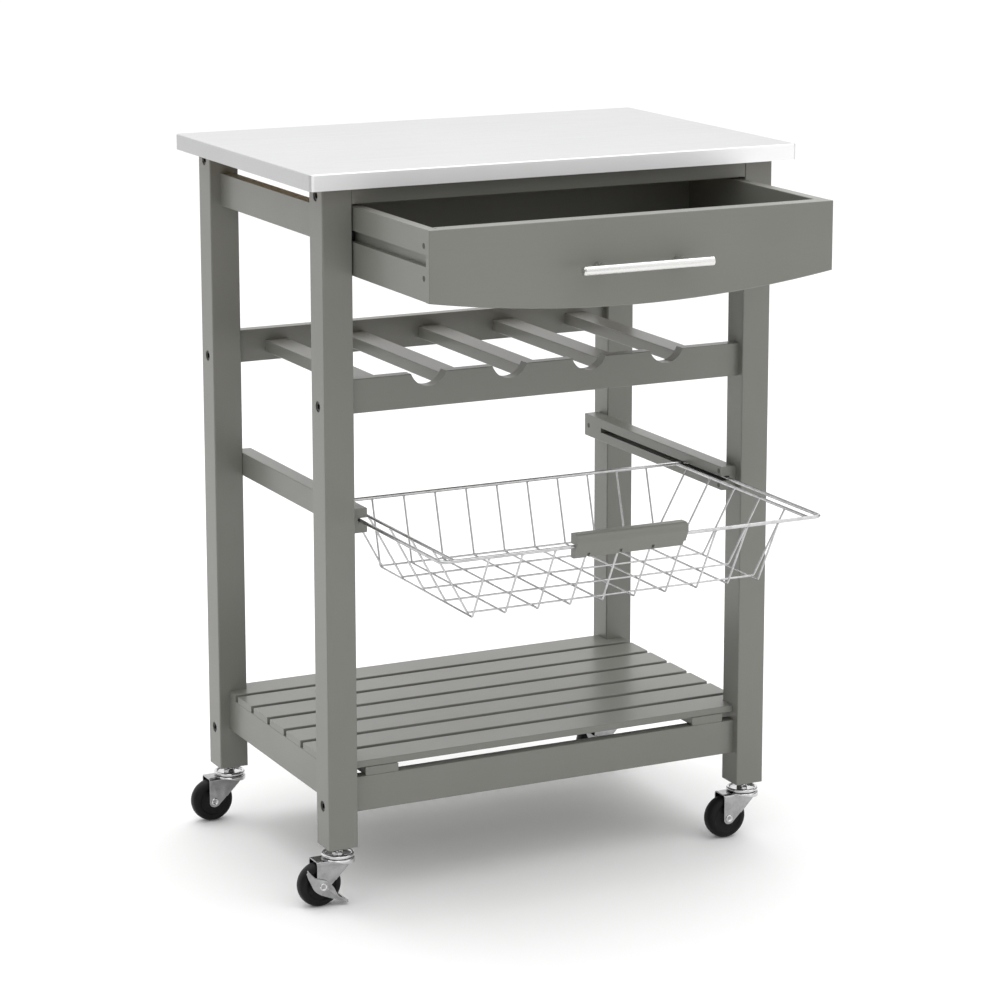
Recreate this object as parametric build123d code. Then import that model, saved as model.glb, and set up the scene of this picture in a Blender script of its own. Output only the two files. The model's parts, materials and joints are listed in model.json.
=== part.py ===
from build123d import *
import math
import os

# A rolling pantry cart, in millimetres. It is modelled round the middle of its frame: X runs across,
# Y runs from the front (-) to the back (+), and Z is the height above the floor. The drawer and the
# basket stand pulled out. write_part then moves everything so that the origin is at the middle of the
# whole cart's footprint.

os.makedirs("parts", exist_ok=True)

# ------------------------------------------------------------------ overall sizes
cart_height = 824.0
frame_width = 555.0  # over the outer faces of the legs
frame_depth = 362.0  # over the outer faces of the legs

# ------------------------------------------------------------------ worktop
worktop_thickness = 18.0
worktop_side_overhang = 21.0
worktop_end_overhang = 19.0
worktop_corner_radius = 5.0
worktop_edge_radius = 1.5
steel_thickness = 0.8

# ------------------------------------------------------------------ frame timber
leg_section = 35.0
leg_edge_radius = 1.5
timber_edge_radius = 1.0
rail_thickness = 15.0
side_rail_recess = 13.0  # behind the legs' outer side faces

top_rail_height = 19.0
top_rail_depth = 30.0
top_rail_recess = 0.7
upper_rail_height = 38.0
upper_rail_gap = 23.5  # below the worktop

rack_rail_height = 38.0
rack_rail_below_worktop = 211.5  # from the worktop's underside to the rails' top
rack_end_gap = 44.5  # from a leg's inner face to the middle of the nearest slat, before the offset
rack_slat_count = 5
rack_slat_width = 28.0
rack_slat_thickness = 14.0
rack_slat_drop = 13.5  # of the slats' tops below the rails' tops
rack_slat_offset = 4.0  # of the row of slats to the right
cradle_radius = 22.5
cradle_depth = 15.0

lower_rail_height = 40.0
lower_side_rail_bottom = 47.0  # above the foot of the legs
shelf_batten_width = 40.0
shelf_batten_thickness = 9.5
shelf_batten_inset = 34.5  # of a batten's middle from the legs' inner faces
shelf_slat_thickness = 8.0
shelf_slat_count = 7
shelf_slat_gap = 8.0
shelf_setback = 1.75  # of the shelf's front and back edges behind the end rails' outer faces
shelf_batten_setback = 1.0  # of the battens' ends behind the same faces
notch_clearance = 0.3

# ------------------------------------------------------------------ fasteners
bolt_head_diameter = 12.0
bolt_head_height = 6.0
bolt_head_sunk = 1.0  # below the legs' faces
bolt_socket_size = 6.0
bolt_socket_depth = 3.5
bolt_diameter = 6.0
bolt_grip = 28.0  # of the thread inside a rail
bolt_above_rail_bottom = 10.0
head_clearance = 0.15  # round a sunk head
thread_clearance = 0.05  # round a shank
dowel_diameter = 8.0
dowel_rail_depth = 20.0
dowel_leg_depth = 12.0
dowel_end_gap = 0.5  # in a hole, past each end of its dowel
slat_dowel_diameter = 6.0
slat_dowel_depth = 12.0  # into a slat, and into its rail
screw_diameter = 3.0
screw_head_diameter = 6.0
screw_head_height = 1.1
screw_grip = 20.0  # of a rail screw in its leg, or of a drawer screw in an end
runner_screw_grip = 12.0
slat_screw_cover = 2.5  # from a slat screw's point to the slat's top
rail_screw_inset = 5.5  # of a basket rail's front screws from its edges
rail_back_screw_inset = 10.0

# ------------------------------------------------------------------ basket
basket_rail_thickness = 19.5
basket_rail_height = 27.5
basket_rail_bottom = 355.5  # above the foot of the legs
basket_rail_setback = 12.0  # behind the legs' front and back faces
basket_groove_depth = 11.0
basket_groove_above_bottom = 11.0
guide_wire_diameter = 4.0
guide_wire_end_gap = 1.0  # from the wire to the bottom of the groove
guide_wire_side_gap = 0.75
guide_corner_radius = 8.0
rim_wire_diameter = 3.5
rim_wire_spacing = 16.0  # from a guide wire to the rim wire inside it
mesh_wire_diameter = 2.2
basket_back_gap = 57.0  # from the back wire to the legs' back faces when pushed in
basket_depth = 75.0
basket_travel = 200.0
basket_closed_setback = 5.0  # of the front wire behind the legs' front faces
long_wire_count = 10
long_wire_corner_gap = 0.5  # of the outer long wires inside the corners of the floor
cross_wire_count = 5
cross_wire_front = 52.0  # of the foremost cross wire behind the front wire
cross_wire_back = 26.0  # of the last cross wire in front of the back wire
basket_front_slope = 41.0
basket_back_slope = 21.0
basket_side_slope = 39.0
wire_bend_radius = 4.0
grip_length = 134.0
grip_offset = -8.0  # of its middle to the right of the cart's middle
grip_height = 27.0
grip_thickness = 16.0
grip_foot_thickness = 7.0
grip_nose_drop = 9.0  # of its foremost edge below its top
grip_reach = 8.0  # in front of the front wire
grip_top_radius = 6.0
grip_nose_radius = 5.0
grip_notch_width = 3.4
grip_clearance = 0.1

# ------------------------------------------------------------------ drawer
drawer_side_gap = 1.5
drawer_proud = 0.5  # of the front before the legs' front faces when pushed in
drawer_back_gap = 55.5  # from the drawer's back to the legs' back faces when pushed in
drawer_top_gap = 2.0
drawer_front_thickness = 18.0
drawer_lip_thickness = 8.0
drawer_height = 76.0
drawer_bow = 19.0  # of the front's lower edge at the middle
drawer_side_thickness = 12.5
drawer_travel = 190.5
drawer_back_thickness = 12.0
drawer_bottom_thickness = 4.0
drawer_bottom_height = 7.0
drawer_bottom_groove = 5.0
drawer_bottom_clearance = 0.2
runner_height = 11.5
runner_reach = 7.0  # out of the legs' inner faces
runner_below_drawer_top = 27.0
runner_gap = 0.5
runner_end_gap = 1.0
drawer_screw_above = 9.0  # of the upper screw over the groove
drawer_screw_below = 12.5  # of the lower screw under the groove

handle_length = 156.0
handle_diameter = 10.0
handle_chamfer = 1.5
handle_standoff = 27.0
handle_drop = 50.0  # below the drawer's top
post_spacing = 96.0
post_diameter = 8.0
post_screw_diameter = 4.0
post_screw_depth = 12.0

# ------------------------------------------------------------------ casters
wheel_diameter = 50.8
wheel_width = 18.0
wheel_shoulder = 5.0
wheel_recess_depth = 1.0
wheel_recess_inner = 9.0
wheel_recess_outer = 17.5
caster_trail = 23.4
axle_diameter = 6.0
axle_fit = 0.05
axle_head_diameter = 9.0
axle_head_height = 1.4
axle_hollow_diameter = 4.0
axle_hollow_depth = 3.0
fork_thickness = 1.6
fork_side_gap = 1.0
fork_top_gap = 2.0
fork_top_thickness = 1.8
fork_rear_reach = 30.0  # behind the stem's axis
fork_front_reach = 11.0
fork_tip_radius = 7.0
race_diameter = 38.8
race_skirt_height = 4.0
race_gap = 0.4
cap_diameter = 37.4
cap_height = 3.2
cap_floor = 1.2
cap_rim = 1.4
cap_chamfer = 1.2
cap_slope = 1.0
pin_diameter = 7.0
pin_head_diameter = 11.0
pin_head_height = 2.0
pin_gap = 0.3
stem_diameter = 8.0
stem_length = 32.0
stem_nut_width = 14.0
stem_nut_height = 6.0
stem_collar_diameter = 11.0
stem_collar_height = 4.8
brake_thickness = 1.4
brake_gap = 0.3
brake_flange_gap = 0.8  # from the flange to the wheel's side
overcut = 1.0  # by which a cut runs past the face that it opens

# The brake lever's cheek seen from its side, from the axle, in shares of the wheel's radius.
brake_horn = (-0.775, 0.768)  # the upper back corner
brake_heel = (-0.74, 0.55)
brake_belly = (-0.42, -0.13)
brake_sole = (0.19, -0.50)
brake_pedal_root = (0.835, -0.685)
brake_pedal_tip = (1.174, -0.811)
brake_shin = (0.70, -0.50)
brake_instep = (0.42, 0.0)
brake_knee = (0.16, 0.25)
brake_neck = (-0.37, 0.43)
brake_pedal_height = 2.8
brake_pedal_thickness = 1.4

# ------------------------------------------------------------------ places that follow
axle_height = wheel_diameter / 2
fork_top_under = wheel_diameter + fork_top_gap
fork_top = fork_top_under + fork_top_thickness
cap_bottom = fork_top + race_gap
nut_bottom = cap_bottom + cap_floor
collar_bottom = nut_bottom + stem_nut_height
leg_bottom = collar_bottom + stem_collar_height

worktop_width = frame_width + 2 * worktop_side_overhang
worktop_depth = frame_depth + 2 * worktop_end_overhang
worktop_under = cart_height - worktop_thickness

leg_x = (frame_width - leg_section) / 2
leg_y = (frame_depth - leg_section) / 2
inner_x = frame_width / 2 - leg_section  # the legs' inner faces
inner_y = frame_depth / 2 - leg_section

side_rail_outer = frame_width / 2 - side_rail_recess
side_rail_inner = side_rail_outer - rail_thickness

top_rail_bottom = worktop_under - top_rail_height
upper_rail_bottom = worktop_under - upper_rail_gap - upper_rail_height
rack_rail_top = worktop_under - rack_rail_below_worktop
rack_rail_bottom = rack_rail_top - rack_rail_height
rack_slat_bottom = rack_rail_top - rack_slat_drop - rack_slat_thickness
rack_pitch = 2 * (inner_x - rack_end_gap) / (rack_slat_count - 1)  # one bottle to the next

lower_side_bottom = leg_bottom + lower_side_rail_bottom
shelf_bottom = lower_side_bottom + lower_rail_height
lower_end_top = shelf_bottom - shelf_batten_thickness
lower_end_bottom = lower_end_top - lower_rail_height
rail_face_y = leg_y + rail_thickness / 2  # the end rails' outer faces
shelf_front = rail_face_y - shelf_setback
shelf_slat_width = (2 * shelf_front - (shelf_slat_count - 1) * shelf_slat_gap) / shelf_slat_count
batten_x = inner_x - shelf_batten_inset

bolt_heights = (
    worktop_under - top_rail_height / 2,
    rack_rail_bottom + bolt_above_rail_bottom,
    lower_end_bottom + bolt_above_rail_bottom,
)
bolt_length = leg_section - bolt_head_height - bolt_head_sunk + bolt_grip

basket_rail_low = leg_bottom + basket_rail_bottom
basket_rail_high = basket_rail_low + basket_rail_height
groove_height = guide_wire_diameter + 2 * guide_wire_side_gap
wire_height = basket_rail_low + basket_groove_above_bottom + groove_height / 2
basket_rail_inner = inner_x - basket_rail_thickness
basket_rail_end = frame_depth / 2 - basket_rail_setback
groove_bottom_x = basket_rail_inner + basket_groove_depth
guide_x = groove_bottom_x - guide_wire_end_gap - guide_wire_diameter / 2
rim_x = guide_x - rim_wire_spacing
basket_front = -frame_depth / 2 + basket_closed_setback - basket_travel
basket_length = frame_depth - basket_closed_setback - basket_back_gap
basket_back = basket_front + basket_length
basket_floor = wire_height - basket_depth
cross_floor = basket_floor + mesh_wire_diameter
floor_x = rim_x - basket_side_slope
long_wire_pitch = 2 * (floor_x - long_wire_corner_gap) / (long_wire_count - 1)
cross_wire_pitch = (basket_length - cross_wire_front - cross_wire_back) / (cross_wire_count - 1)

drawer_half = inner_x - drawer_side_gap
drawer_top = top_rail_bottom - drawer_top_gap
drawer_bottom = drawer_top - drawer_height
drawer_front = -frame_depth / 2 - drawer_travel - drawer_proud
drawer_back = frame_depth / 2 - drawer_travel - drawer_back_gap
drawer_lip_back = drawer_front + drawer_lip_thickness
drawer_front_back = drawer_front + drawer_front_thickness
side_inner = drawer_half - drawer_side_thickness
runner_top = drawer_top - runner_below_drawer_top
runner_bottom = runner_top - runner_height
drawer_groove_depth = runner_reach - drawer_side_gap + runner_end_gap
runner_front = drawer_lip_back + drawer_travel + runner_end_gap
panel_bottom = drawer_bottom + drawer_bottom_height
handle_height = drawer_top - handle_drop
handle_y = drawer_front - handle_standoff
drawer_screw_levels = (
    runner_bottom - runner_gap - drawer_screw_below,
    runner_top + runner_gap + drawer_screw_above,
)
tongue_y = (drawer_lip_back + drawer_front_back) / 2
back_panel_y = drawer_back - drawer_back_thickness / 2

fork_inner = wheel_width / 2 + fork_side_gap
fork_outer = fork_inner + fork_thickness
brake_inner = fork_outer + brake_gap
brake_outer = brake_inner + brake_thickness

left_reach = max(worktop_width / 2, leg_x + caster_trail + wheel_diameter / 2)
right_reach = worktop_width / 2
front_reach = max(worktop_depth / 2, handle_diameter / 2 - handle_y, grip_reach - basket_front)
back_reach = worktop_depth / 2
origin_x = (right_reach - left_reach) / 2
origin_y = (back_reach - front_reach) / 2

SIDES = {"left": -1, "right": 1}
ENDS = {"front": -1, "back": 1}
CORNERS = {f"{end}_{side}": (SIDES[side], ENDS[end]) for end in ENDS for side in SIDES}
BRAKED = ("front_left", "back_right")


# ------------------------------------------------------------------ helpers
def block(x, y, z):
    """A box between two values along each axis."""
    size = [max(span) - min(span) for span in (x, y, z)]
    return Pos(min(x), min(y), min(z)) * Box(*size, align=(Align.MIN,) * 3)


def eased(solid, radius=timber_edge_radius, axis=None):
    """A timber with its long edges, or all of them, rounded a little."""
    edges = solid.edges().filter_by(axis) if axis else solid.edges()
    return fillet(edges, radius)


def rod(start, end, diameter):
    """A straight round bar from one point to another."""
    start, end = Vector(*start), Vector(*end)
    section = Plane(origin=start, z_dir=end - start) * Circle(diameter / 2)
    return extrude(section, (end - start).length)


def wire(points, diameter, bend):
    """A bent wire: straight runs with a round bend of the same radius at each inner point."""
    path = FilletPolyline(*points, radius=bend) if len(points) > 2 else Line(*points)
    section = Plane(origin=path @ 0, z_dir=path % 0) * Circle(diameter / 2)
    return sweep(section, path)


def wood_screw(head, direction, length, diameter=screw_diameter):
    """A flat-headed screw: the top of its head at a point, its shank running in a direction."""
    head = Vector(*head)
    direction = Vector(*direction).normalized()
    plane = Plane(origin=head, z_dir=direction)
    disc = extrude(plane * Circle(screw_head_diameter / 2), screw_head_height)
    shank = extrude(plane * Circle(diameter / 2), length)
    return disc + shank


def screw_hole(head, direction, length, diameter=screw_diameter):
    """The hole for a wood_screw, larger all round by the clearances."""
    head = Vector(*head)
    direction = Vector(*direction).normalized()
    plane = Plane(origin=head, z_dir=direction)
    sink = extrude(plane * Circle(screw_head_diameter / 2 + head_clearance), screw_head_height)
    shank = extrude(plane * Circle(diameter / 2 + thread_clearance), length + thread_clearance)
    return sink + shank


def drilled(solid, holes):
    """A piece with every hole that reaches it cut out."""
    box = solid.bounding_box()
    for hole in holes:
        other = hole.bounding_box()
        apart = (
            other.min.X > box.max.X
            or other.max.X < box.min.X
            or other.min.Y > box.max.Y
            or other.max.Y < box.min.Y
            or other.min.Z > box.max.Z
            or other.max.Z < box.min.Z
        )
        if not apart:
            solid = solid - hole
    return solid


def write_part(name, solids):
    """Writes one node, with the origin at the middle of the cart's footprint on the floor."""
    solids = solids if isinstance(solids, list) else [solids]
    shift = Pos(-origin_x, -origin_y, 0)
    moved = [shift * solid for shape in solids for solid in shape.solids()]
    export_step(moved[0] if len(moved) == 1 else Compound(children=moved), f"parts/{name}.step")


# ------------------------------------------------------------------ fasteners of the frame
def bolt_places():
    """The head's outer face and the way in of each socket bolt through the legs' outer sides."""
    return [
        (side * (frame_width / 2 - bolt_head_sunk), end * leg_y, height, -side)
        for side in SIDES.values()
        for end in ENDS.values()
        for height in bolt_heights
    ]


def frame_bolts():
    """Socket-head bolts that pull the cross rails against the legs."""
    bolts = []
    for x, y, z, way in bolt_places():
        head = rod((x, y, z), (x + way * bolt_head_height, y, z), bolt_head_diameter)
        shank = rod((x, y, z), (x + way * (bolt_head_height + bolt_length), y, z), bolt_diameter)
        socket_plane = Plane(origin=(x, y, z), z_dir=(way, 0, 0))
        socket = extrude(socket_plane * RegularPolygon(bolt_socket_size / 2, 6, False), bolt_socket_depth)
        bolts.append(head + shank - socket)
    return bolts


def bolt_holes():
    """Counterbores in the legs, and the threaded way on into the rails."""
    holes = []
    for x, y, z, way in bolt_places():
        sink_end = x + way * bolt_head_height
        outside = x - way * (bolt_head_sunk + overcut)
        sink = rod((outside, y, z), (sink_end, y, z), bolt_head_diameter + 2 * head_clearance)
        far = x + way * (bolt_head_height + bolt_length + thread_clearance)
        holes.append(sink)
        holes.append(rod((sink_end, y, z), (far, y, z), bolt_diameter + 2 * thread_clearance))
    return holes


def dowel_lines():
    """Start, end and diameter of each glued dowel."""
    lines = []
    side_middle = side_rail_outer - rail_thickness / 2
    side_rails = ((upper_rail_bottom, upper_rail_height), (lower_side_bottom, lower_rail_height))
    end_rails = ((rack_rail_bottom, rack_rail_height), (lower_end_bottom, lower_rail_height))
    for side, end in CORNERS.values():
        for low, height in side_rails:
            for z in (low + height / 4, low + height * 3 / 4):
                near = (side * side_middle, end * (inner_y - dowel_rail_depth), z)
                far = (side * side_middle, end * (inner_y + dowel_leg_depth), z)
                lines.append((near, far, dowel_diameter))
        for low, height in end_rails:
            z = low + height - bolt_above_rail_bottom
            near = (side * (inner_x - dowel_rail_depth), end * leg_y, z)
            far = (side * (inner_x + dowel_leg_depth), end * leg_y, z)
            lines.append((near, far, dowel_diameter))
    slat_end = leg_y - rail_thickness / 2
    slat_middle = rack_slat_bottom + rack_slat_thickness / 2
    for x in rack_slat_places():
        for end in ENDS.values():
            near = (x, end * (slat_end - slat_dowel_depth), slat_middle)
            far = (x, end * (slat_end + slat_dowel_depth), slat_middle)
            lines.append((near, far, slat_dowel_diameter))
    return lines


def dowels():
    """Glued beech dowels at the side rails, beside the bolts and at the rack slats' ends."""
    return [rod(*line) for line in dowel_lines()]


def dowel_holes():
    """The dowels' holes, each a little wider and longer than its dowel."""
    holes = []
    for near, far, diameter in dowel_lines():
        way = (Vector(*far) - Vector(*near)).normalized() * dowel_end_gap
        start, end = Vector(*near) - way, Vector(*far) + way
        holes.append(rod(tuple(start), tuple(end), diameter + 2 * thread_clearance))
    return holes


def basket_rail_screw_lines(side):
    """Two screws at a basket rail's front end and one at its back, into the legs."""
    x = side * basket_rail_inner
    front = -(basket_rail_end - rail_screw_inset)
    places = [
        (front, basket_rail_low + rail_screw_inset),
        (front, basket_rail_high - rail_screw_inset),
        (basket_rail_end - rail_back_screw_inset, (basket_rail_low + basket_rail_high) / 2),
    ]
    length = basket_rail_thickness + screw_grip
    return [((x, y, z), (side, 0, 0), length) for y, z in places]


def runner_screw_lines(side):
    x = side * (inner_x - runner_reach)
    z = (runner_top + runner_bottom) / 2
    return [((x, end * leg_y, z), (side, 0, 0), runner_reach + runner_screw_grip) for end in ENDS.values()]


def worktop_screw_lines(side):
    """Screws up through the top rails into the worktop."""
    y = frame_depth / 2 - top_rail_depth / 2
    length = top_rail_height + worktop_thickness / 2
    return [((side * frame_width / 4, end * y, top_rail_bottom), (0, 0, 1), length) for end in ENDS.values()]


def slat_screw_lines(side):
    """Screws up through a shelf batten into each slat, beside the end rails where a slat lies over one."""
    lines = []
    length = shelf_batten_thickness + shelf_slat_thickness - slat_screw_cover
    for y in shelf_slat_places():
        over_rail = abs(y) + screw_head_diameter > rail_face_y - rail_thickness
        screw_y = y - math.copysign(shelf_slat_width / 4, y) if over_rail else y
        lines.append(((side * batten_x, screw_y, lower_end_top), (0, 0, 1), length))
    return lines


def wood_screw_lines():
    """Head, direction and length of each wood screw in the frame."""
    kinds = (basket_rail_screw_lines, runner_screw_lines, worktop_screw_lines, slat_screw_lines)
    return [line for side in SIDES.values() for kind in kinds for line in kind(side)]


def wood_screws():
    """Screws that hold the basket rails, the runners, the worktop and the shelf slats."""
    return [wood_screw(*line) for line in wood_screw_lines()]


def wood_screw_holes():
    return [screw_hole(*line) for line in wood_screw_lines()]


# ------------------------------------------------------------------ frame
def leg(side, end):
    x, y = side * leg_x, end * leg_y
    half = leg_section / 2
    post = block((x - half, x + half), (y - half, y + half), (leg_bottom, worktop_under))
    post = eased(post, leg_edge_radius, Axis.Z)
    below = (x, y, leg_bottom - overcut)
    above = (x, y, leg_bottom + stem_length + overcut)
    return drilled(post, [rod(below, above, stem_diameter + 2 * thread_clearance)])


def worktop_plan(shrink):
    """The worktop's outline, smaller all round by shrink."""
    radius = worktop_corner_radius - shrink
    return RectangleRounded(worktop_width - 2 * shrink, worktop_depth - 2 * shrink, radius)


def worktop_core():
    plan = Pos(0, 0, worktop_under) * worktop_plan(steel_thickness)
    core = extrude(plan, worktop_thickness - steel_thickness)
    top = core.edges().group_by(Axis.Z)[-1]
    return fillet(top, worktop_edge_radius - steel_thickness)


def worktop_steel(core):
    """The steel skin over the board's top and sides."""
    skin = extrude(Pos(0, 0, worktop_under) * worktop_plan(0), worktop_thickness)
    skin = fillet(skin.edges().group_by(Axis.Z)[-1], worktop_edge_radius)
    return skin - core


def top_rail(end):
    outer = frame_depth / 2 - top_rail_recess
    rail = block(
        (-inner_x, inner_x),
        (end * (outer - top_rail_depth), end * outer),
        (top_rail_bottom, worktop_under),
    )
    return eased(rail, timber_edge_radius, Axis.X)


def side_rail(side, bottom, height):
    rail = block(
        (side * side_rail_inner, side * side_rail_outer),
        (-inner_y, inner_y),
        (bottom, bottom + height),
    )
    return eased(rail, timber_edge_radius, Axis.Y)


def cross_rail(end, bottom, height):
    y = end * leg_y
    rail = block(
        (-inner_x, inner_x),
        (y - rail_thickness / 2, y + rail_thickness / 2),
        (bottom, bottom + height),
    )
    return eased(rail, timber_edge_radius, Axis.X)


def rack_rail_front():
    """The front rack rail, with a round cradle for each bottle's neck."""
    rail = cross_rail(-1, rack_rail_bottom, rack_rail_height)
    centre = rack_rail_top + cradle_radius - cradle_depth
    for index in range(rack_slat_count - 1):
        x = (index - (rack_slat_count - 2) / 2) * rack_pitch
        cut = rod((x, -frame_depth, centre), (x, 0, centre), 2 * cradle_radius)
        rail = rail - cut
    return rail


def rack_slat_places():
    middle = (rack_slat_count - 1) / 2
    return [rack_slat_offset + (index - middle) * rack_pitch for index in range(rack_slat_count)]


def rack_slat(x):
    face = leg_y - rail_thickness / 2
    slat = block(
        (x - rack_slat_width / 2, x + rack_slat_width / 2),
        (-face, face),
        (rack_slat_bottom, rack_slat_bottom + rack_slat_thickness),
    )
    return eased(slat, timber_edge_radius, Axis.Y)


def shelf_slat_places():
    middle = (shelf_slat_count - 1) / 2
    pitch = shelf_slat_width + shelf_slat_gap
    return [(index - middle) * pitch for index in range(shelf_slat_count)]


def shelf_slat(y):
    """A shelf slat across the cart. The first and the last are notched round the legs."""
    half = shelf_slat_width / 2
    top = shelf_bottom + shelf_slat_thickness
    slat = block((-side_rail_outer, side_rail_outer), (y - half, y + half), (shelf_bottom, top))
    slat = eased(slat, timber_edge_radius, Axis.X)
    end = math.copysign(1, y)
    if abs(y) + half > inner_y:
        for side in SIDES.values():
            notch = block(
                (side * (inner_x - notch_clearance), side * frame_width),
                (end * (inner_y - notch_clearance), end * frame_depth),
                (shelf_bottom - overcut, top + overcut),
            )
            slat = slat - notch
    return slat


def shelf_batten(side):
    reach = rail_face_y - shelf_batten_setback
    x = side * batten_x
    batten = block(
        (x - shelf_batten_width / 2, x + shelf_batten_width / 2),
        (-reach, reach),
        (lower_end_top, shelf_bottom),
    )
    return eased(batten, timber_edge_radius, Axis.Y)


def basket_rail(side):
    """A rail on the legs' inner faces, with a groove that is open at the front for the guide wire."""
    rail = block(
        (side * basket_rail_inner, side * inner_x),
        (-basket_rail_end, basket_rail_end),
        (basket_rail_low, basket_rail_high),
    )
    rail = eased(rail, timber_edge_radius, Axis.Y)
    groove_end = basket_back + basket_travel + guide_wire_diameter / 2 + guide_wire_end_gap
    groove = block(
        (0, side * groove_bottom_x),
        (-frame_depth, groove_end),
        (wire_height - groove_height / 2, wire_height + groove_height / 2),
    )
    return rail - groove


def drawer_runner(side):
    strip = block(
        (side * (inner_x - runner_reach), side * inner_x),
        (runner_front, basket_rail_end),
        (runner_bottom, runner_top),
    )
    return eased(strip, timber_edge_radius, Axis.Y)


# ------------------------------------------------------------------ drawer
def drawer_bottom_space(clearance):
    """The room of the bottom panel with its edges in the grooves, larger by a clearance."""
    reach = side_inner + drawer_bottom_groove + clearance - drawer_bottom_clearance
    front = drawer_front_back - drawer_bottom_groove - clearance + drawer_bottom_clearance
    back = drawer_back - drawer_back_thickness + drawer_bottom_groove + clearance - drawer_bottom_clearance
    low = panel_bottom - clearance / 2
    return block((-reach, reach), (front, back), (low, low + drawer_bottom_thickness + clearance))


def drawer_front_panel():
    """The front: a board with a bowed lower edge, and rabbets for the ends of the drawer's sides."""
    low = drawer_bottom
    outline = Polyline(
        (-drawer_half, low),
        (-drawer_half, drawer_top),
        (drawer_half, drawer_top),
        (drawer_half, low),
    )
    bow = ThreePointArc((drawer_half, low), (0, low - drawer_bow), (-drawer_half, low))
    face = make_face(outline.edges() + bow.edges())
    plane = Plane(origin=(0, drawer_front_back, 0), x_dir=(1, 0, 0), z_dir=(0, -1, 0))
    board = extrude(plane * face, drawer_front_thickness)
    board = fillet(board.edges().group_by(Axis.Y)[0], timber_edge_radius)
    for side in SIDES.values():
        rabbet = block(
            (side * side_inner, side * (drawer_half + overcut)),
            (drawer_lip_back, drawer_front_back + overcut),
            (low - drawer_bow, drawer_top + overcut),
        )
        board = board - rabbet
    return board - drawer_bottom_space(drawer_bottom_clearance)


def drawer_side(side):
    """A side board with the runner's groove along its outer face and the bottom's groove inside."""
    board = block(
        (side * side_inner, side * drawer_half),
        (drawer_lip_back, drawer_back),
        (drawer_bottom, drawer_top),
    )
    board = eased(board, timber_edge_radius, Axis.Y)
    groove = block(
        (side * (drawer_half - drawer_groove_depth), side * (drawer_half + overcut)),
        (drawer_lip_back - overcut, drawer_back + overcut),
        (runner_bottom - runner_gap, runner_top + runner_gap),
    )
    return board - groove - drawer_bottom_space(drawer_bottom_clearance)


def drawer_back_board():
    board = block(
        (-side_inner, side_inner),
        (drawer_back - drawer_back_thickness, drawer_back),
        (drawer_bottom, drawer_top),
    )
    board = eased(board, timber_edge_radius, Axis.X)
    return board - drawer_bottom_space(drawer_bottom_clearance)


def drawer_screw_lines():
    """Head, direction, length and diameter of the drawer's screws."""
    lines = []
    side_length = drawer_side_thickness + screw_grip
    post_length = drawer_front_thickness + post_screw_depth
    for side in SIDES.values():
        for y in (tongue_y, back_panel_y):
            for z in drawer_screw_levels:
                lines.append(((side * drawer_half, y, z), (-side, 0, 0), side_length, screw_diameter))
        post_end = (side * post_spacing / 2, drawer_front_back, handle_height)
        lines.append((post_end, (0, -1, 0), post_length, post_screw_diameter))
    return lines


def handle_bar():
    half = handle_length / 2
    bar = rod((-half, handle_y, handle_height), (half, handle_y, handle_height), handle_diameter)
    return chamfer(bar.edges().filter_by(GeomType.CIRCLE), handle_chamfer)


def handle_posts(bar):
    return [
        rod((x, drawer_front, handle_height), (x, handle_y, handle_height), post_diameter) - bar
        for x in (-post_spacing / 2, post_spacing / 2)
    ]


# ------------------------------------------------------------------ basket
def basket_frame():
    """The loop of thick wire that slides in the grooves, with the two rim wires inside it."""
    outline = RectangleRounded(2 * guide_x, basket_length, guide_corner_radius)
    loop = Pos(0, (basket_front + basket_back) / 2, wire_height) * outline
    path = loop.faces()[0].outer_wire()
    section = Plane(origin=path @ 0, z_dir=path % 0) * Circle(guide_wire_diameter / 2)
    frame = sweep(section, path)
    for side in SIDES.values():
        front = (side * rim_x, basket_front, wire_height)
        back = (side * rim_x, basket_back, wire_height)
        frame = frame + rod(front, back, rim_wire_diameter)
    return frame


def long_wire_places():
    middle = (long_wire_count - 1) / 2
    return [(index - middle) * long_wire_pitch for index in range(long_wire_count)]


def basket_wires_long():
    """Wires from the back wire down, along under the basket and up to the front wire."""
    hang = wire_height - guide_wire_diameter / 2
    wires = []
    for x in long_wire_places():
        points = [
            (x, basket_back, hang),
            (x, basket_back - basket_back_slope, basket_floor),
            (x, basket_front + basket_front_slope, basket_floor),
            (x, basket_front, hang),
        ]
        wires.append(wire(points, mesh_wire_diameter, wire_bend_radius))
    return wires


def basket_wires_cross():
    """Wires from one rim wire down and across the basket's floor to the other."""
    hang = wire_height - rim_wire_diameter / 2
    wires = []
    for index in range(cross_wire_count):
        y = basket_back - cross_wire_back - index * cross_wire_pitch
        points = [
            (-rim_x, y, hang),
            (-floor_x, y, cross_floor),
            (floor_x, y, cross_floor),
            (rim_x, y, hang),
        ]
        wires.append(wire(points, mesh_wire_diameter, wire_bend_radius))
    return wires


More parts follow.
